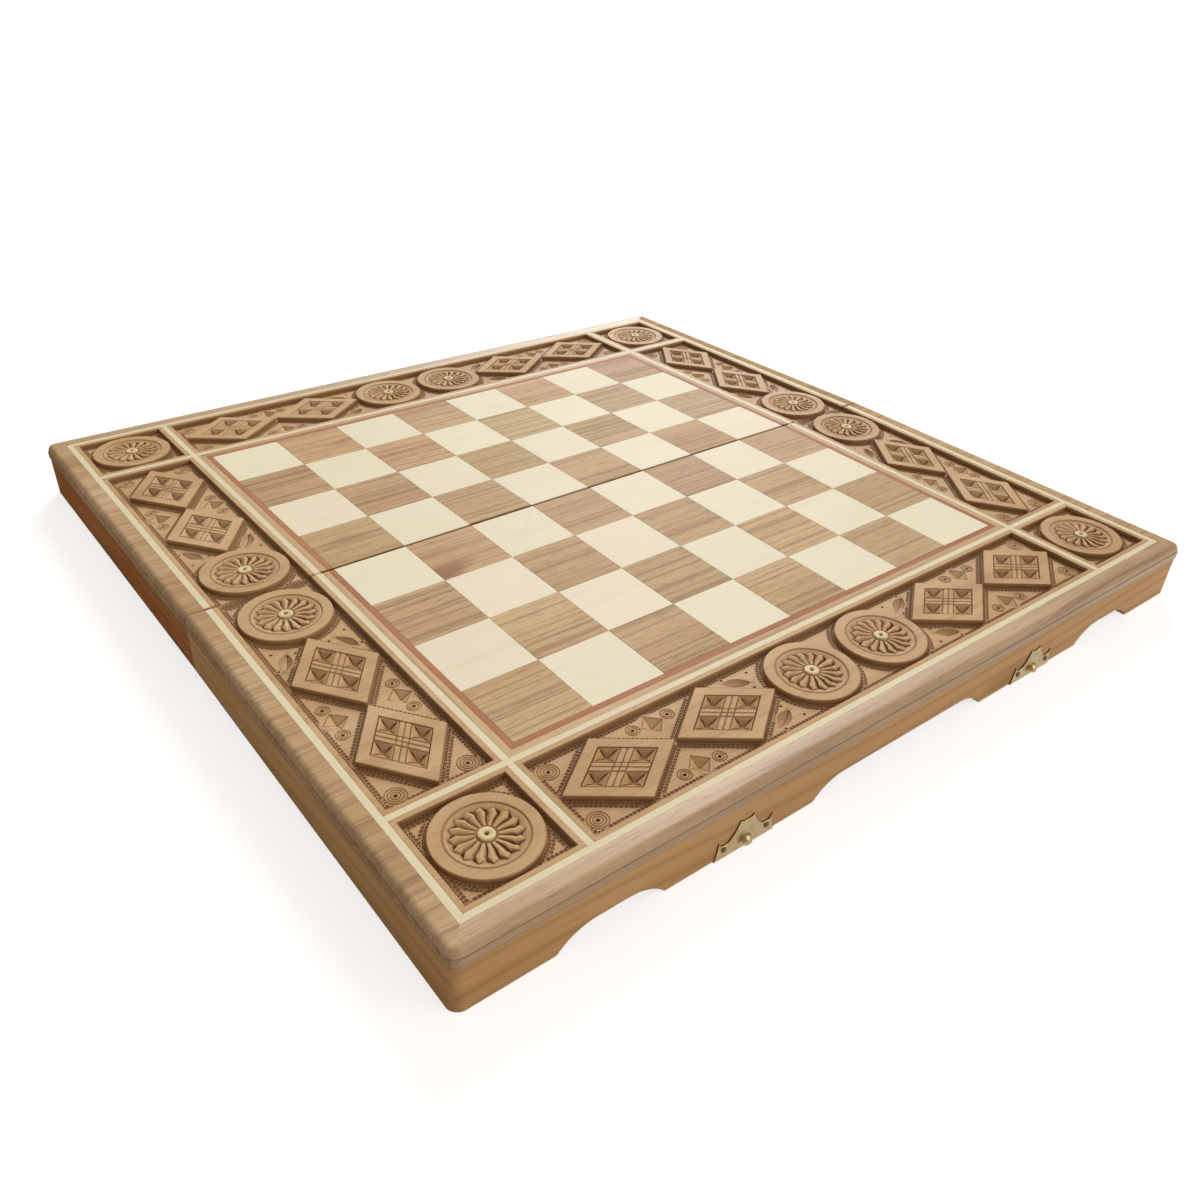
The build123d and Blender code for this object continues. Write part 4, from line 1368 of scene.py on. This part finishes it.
def clasps():
    """Catches on the near long wall, hasps and their plates on the far one."""
    catches, near_tacks, plates, far_tacks, pins = Body(), Body(), Body(), Body(), Body()
    knuckle = HASP_KNUCKLE / 2
    inner = knuckle + HASP_KNUCKLE_GAP
    outer = FLAP_WIDTH / 2
    height = PIVOT_RISE + FLAP_START
    notch = [(-inner, 0), (-inner, height), (inner, height), (inner, 0)]
    pivot = shift(0, PIVOT_RISE, PIVOT_OUT)
    for side in SIDES:
        wall = on_wall(side)
        catches.add(plate(crown_outline(), [], 0, PLATE_THICKNESS), wall)
        catches.add(half_dome(CATCH_RADIUS, CATCH_SUNK, CATCH_RISE, PLATE_THICKNESS), wall)
        plates.add(plate(crown_outline(notch), [], 0, PLATE_THICKNESS), wall)
        for x0, x1 in ((-outer, -inner), (inner, outer)):
            plates.add(tube(HASP_KNUCKLE_RADIUS, HASP_BORE, x0, x1), wall @ pivot)
        pins.add(tube(HASP_PIN_RADIUS, 0, -outer, outer, 16, 0.1), wall @ pivot)
        for way in SIDES:
            for tacks in (near_tacks, far_tacks):
                tacks.add(tack(), wall @ shift(way * NAIL_AT, NAIL_RISE))
    for name, body, half, finish, node in (
            ("catches", catches, "near", "brass", "catch_plates"),
            ("catch_tacks", near_tacks, "near", "dark_brass", "catch_nails"),
            ("hasp_back_plates", plates, "far", "brass", "hasp_plates"),
            ("hasp_tacks", far_tacks, "far", "dark_brass", "hasp_nails"),
            ("hasp_pivots", pins, "far", "dark_brass", "hasp_pins")):
        make_object(name, body, half, finish, [node])
    shoulder = FLAP_LENGTH - outer
    outline = [(-knuckle, 0), (knuckle, 0), (knuckle, FLAP_START), (outer, FLAP_START), (outer, shoulder)]
    outline += arc_through((outer, shoulder), (0, FLAP_LENGTH), (-outer, shoulder), 20)
    outline += [(-outer, FLAP_START), (-knuckle, FLAP_START)]
    window = rectangle(-WINDOW_HALF, WINDOW_START, WINDOW_HALF, WINDOW_END)
    level = PLATE_THICKNESS + FLAP_BACK - PIVOT_OUT
    for side, name in zip(SIDES, ("left_hasp", "right_hasp")):
        flap = plate(outline, [window], level, level + FLAP_THICKNESS)
        flap.add(tube(HASP_KNUCKLE_RADIUS, HASP_BORE, -knuckle, knuckle))
        body = Body()
        body.add(flap, on_wall(side) @ pivot)
        make_object(name + "_flap", body, "far", "brass", [name], body_name=name)


# Hinges under the fold

def screw():
    """Countersunk screw with a slot, its head in the rim plane and looking down."""
    body = Body()
    relief = Relief(circle(SCREW_HEAD_RADIUS, SCREW_SIDES, 0.0))
    # The slot's darkening is painted shade, which the dull brass doesn't read
    for long, reach, z, stain_and_shade in ((1.62, 0.32, 0.0, 0.0), (1.55, 0.24, -0.55, 1.0)):
        relief.closed([(x, y, z, stain_and_shade) for x, y in rectangle(-long, -reach, long, reach)])
    rings = [relief.build(body)]
    for z in (-0.95, -10.4):
        rings.append(body.loop(disc(0.95, SCREW_SIDES), z))
    body.ring_bands(rings)
    tip = body.point(0, 0, -12.0)
    for first, second in runs(rings[-1]):
        body.face(first, second, tip)
    return body


def hinges(half):
    """Leaves let into the rim, their knuckles, and four screws in each half."""
    leaves, screws = Body(), Body()
    end = HINGE_LENGTH / 2
    pitch = HINGE_LENGTH / KNUCKLES
    down = Matrix.Rotation(pi, 4, "X")
    y = (LEAF_START + LEAF_END) / 2
    hole = disc(SCREW_HEAD_RADIUS + 0.08, SCREW_SIDES)
    holes = [[(x + way * SCREW_AT, z - y) for x, z in hole] for way in SIDES]
    for side in SIDES:
        place = shift(side * HINGE_AT, 0)
        outline = rectangle(-end, -LEAF_END, end, -LEAF_START)
        leaves.add(plate(outline, holes, -LEAF_THICKNESS, 0.0, 0.1), place @ down)
        for k in range(0 if half == "far" else 1, KNUCKLES, 2):
            x0 = k * pitch - end + KNUCKLE_GAP / 2
            x1 = x0 + pitch - KNUCKLE_GAP
            strap = rectangle(x0, -LEAF_START, x1, -STRAP_END)
            leaves.add(plate(strap, [], -LEAF_THICKNESS, 0.0, 0.05), place @ down)
            leaves.add(tube(BARREL_RADIUS, HINGE_PIN_RADIUS + 0.06, x0, x1, 32, 0.25), place)
        for way in SIDES:
            screws.add(screw(), place @ shift(way * SCREW_AT, y) @ down)
    half_object(half, "butt_hinges", leaves, "brass", "hinge_leaves")
    half_object(half, "slotted_screws", screws, "dark_brass", "hinge_screws")


def hinge_pins():
    body = Body()
    end = HINGE_LENGTH / 2
    for side in SIDES:
        body.add(tube(HINGE_PIN_RADIUS, 0, -end, end, 24, 0.3), shift(side * HINGE_AT, 0))
    make_object("fold_pins", body, "far", "dark_brass", ["hinge_pins"])


for half in ("near", "far"):
    squares(half, 0, "dark_squares")
    squares(half, 1, "light_squares")
    bands(half)
    outside(half)
    carvings(half)
    beads(half)
    hinges(half)
hinge_pins()
clasps()


# Finish on the nodes that keep their solids

FINISHES = {"spine_wall": "case_x", "lining_board": "lining", "field_board": "lining"}
for name, node in nodes.items():
    plain = name.split("_", 1)[1]
    node.data.materials.clear()
    node.data.materials.append(MATERIALS[FINISHES.get(plain, "brass")])


# Floor, light and camera

WHITE = (1, 1, 1, 1)
BLACK = (0, 0, 0, 1)
FLOOR_CLEAR = 0.74
FLOOR_COLOUR = (0.50, 0.47, 0.43, 1.0)
FLOOR_REACH = 12.0
ROOM_COLOUR = (1.0, 0.985, 0.96, 1.0)
ROOM_STRENGTH = 0.34
# Name, direction to the lamp, angle it fills, strength and colour
LAMPS = (
    ("window", (0.57, 0.61, 0.52), 26.0, 2.45, (0.95, 0.965, 1.0)),
    ("room", (0.55, -0.75, 0.50), 50.0, 1.04, (1.0, 0.965, 0.92)),
)
CAMERA_PLACE = Vector((-0.3601, -0.4598, 0.3291))
CAMERA_FORWARD = Vector((0.5284, 0.6437, -0.5536)).normalized()
CAMERA_RIGHT = Vector((0.7872, -0.6157, 0.0355))
IMAGE_SIZE = 1188
FOCAL_PIXELS = 1055.6
OPTICAL_CENTRE = (605.1, 616.8)
SENSOR = 36.0


def floor_material():
    """Pale floor that keeps the object's shadow and mostly lets the camera through to the white world,
    so that a half folded down under the board still shows. From below it isn't there at all."""
    material, graph = new_material("pale_floor")
    path = graph.node("LightPath")
    matt = graph.node("BsdfPrincipled", {"Base Color": FLOOR_COLOUR, "Roughness": 0.9})[0]
    glossy = graph.times(path["Is Glossy Ray"], FLOOR_CLEAR)
    glow = graph.node("Emission", {"Color": WHITE, "Strength": glossy})[0]
    clear = graph.mix(graph.times(path["Is Camera Ray"], FLOOR_CLEAR), BLACK, WHITE)
    through = graph.node("BsdfTransparent", {"Color": clear})[0]
    lit = graph.node("AddShader", {0: matt, 1: glow})[0]
    front = graph.node("AddShader", {0: lit, 1: through})[0]
    below = graph.node("NewGeometry")["Backfacing"]
    nothing = graph.node("BsdfTransparent", {"Color": WHITE})[0]
    both = graph.node("MixShader", {0: below, 1: front, 2: nothing})[0]
    graph.node("OutputMaterial", {0: both})
    return material


def studio():
    scene = bpy.context.scene
    scene.view_settings.view_transform = "Standard"
    scene.world = bpy.data.worlds.new("studio_world")
    graph = Graph(scene.world)
    path = graph.node("LightPath")
    seen = graph.math("MAXIMUM", path["Is Camera Ray"], path["Is Transmission Ray"])
    soft = graph.node("Background", {"Color": ROOM_COLOUR, "Strength": ROOM_STRENGTH})[0]
    white = graph.node("Background", {"Color": WHITE, "Strength": 1.0})[0]
    both = graph.node("MixShader", {0: seen, 1: soft, 2: white})[0]
    graph.node("OutputWorld", {0: both})

    mesh = bpy.data.meshes.new("floor")
    corners = rectangle(-FLOOR_REACH, -FLOOR_REACH, FLOOR_REACH, FLOOR_REACH)
    mesh.from_pydata([(x, y, 0) for x, y in corners], [], [(0, 1, 2, 3)])
    mesh.materials.append(floor_material())
    floor = bpy.data.objects.new("floor", mesh)
    scene.collection.objects.link(floor)

    for name, place, angle, strength, tone in LAMPS:
        light = bpy.data.lights.new(name, "SUN")
        light.angle = radians(angle)
        light.energy = strength
        light.color = tone
        lamp = bpy.data.objects.new(name, light)
        lamp.rotation_mode = "QUATERNION"
        lamp.rotation_quaternion = (-Vector(place)).to_track_quat("-Z", "Y")
        scene.collection.objects.link(lamp)


def camera():
    data = bpy.data.cameras.new("camera")
    data.sensor_width = SENSOR
    data.lens = FOCAL_PIXELS * SENSOR / IMAGE_SIZE
    data.shift_x = (IMAGE_SIZE / 2 - OPTICAL_CENTRE[0]) / IMAGE_SIZE
    data.shift_y = (OPTICAL_CENTRE[1] - IMAGE_SIZE / 2) / IMAGE_SIZE
    data.clip_start = 0.01
    view = bpy.data.objects.new("camera", data)
    up = CAMERA_RIGHT.cross(CAMERA_FORWARD).normalized()
    right = CAMERA_FORWARD.cross(up).normalized()
    rotation = Matrix((right, up, -CAMERA_FORWARD)).transposed()
    view.matrix_world = Matrix.Translation(CAMERA_PLACE) @ rotation.to_4x4()
    bpy.context.scene.collection.objects.link(view)
    bpy.context.scene.camera = view


studio()
camera()
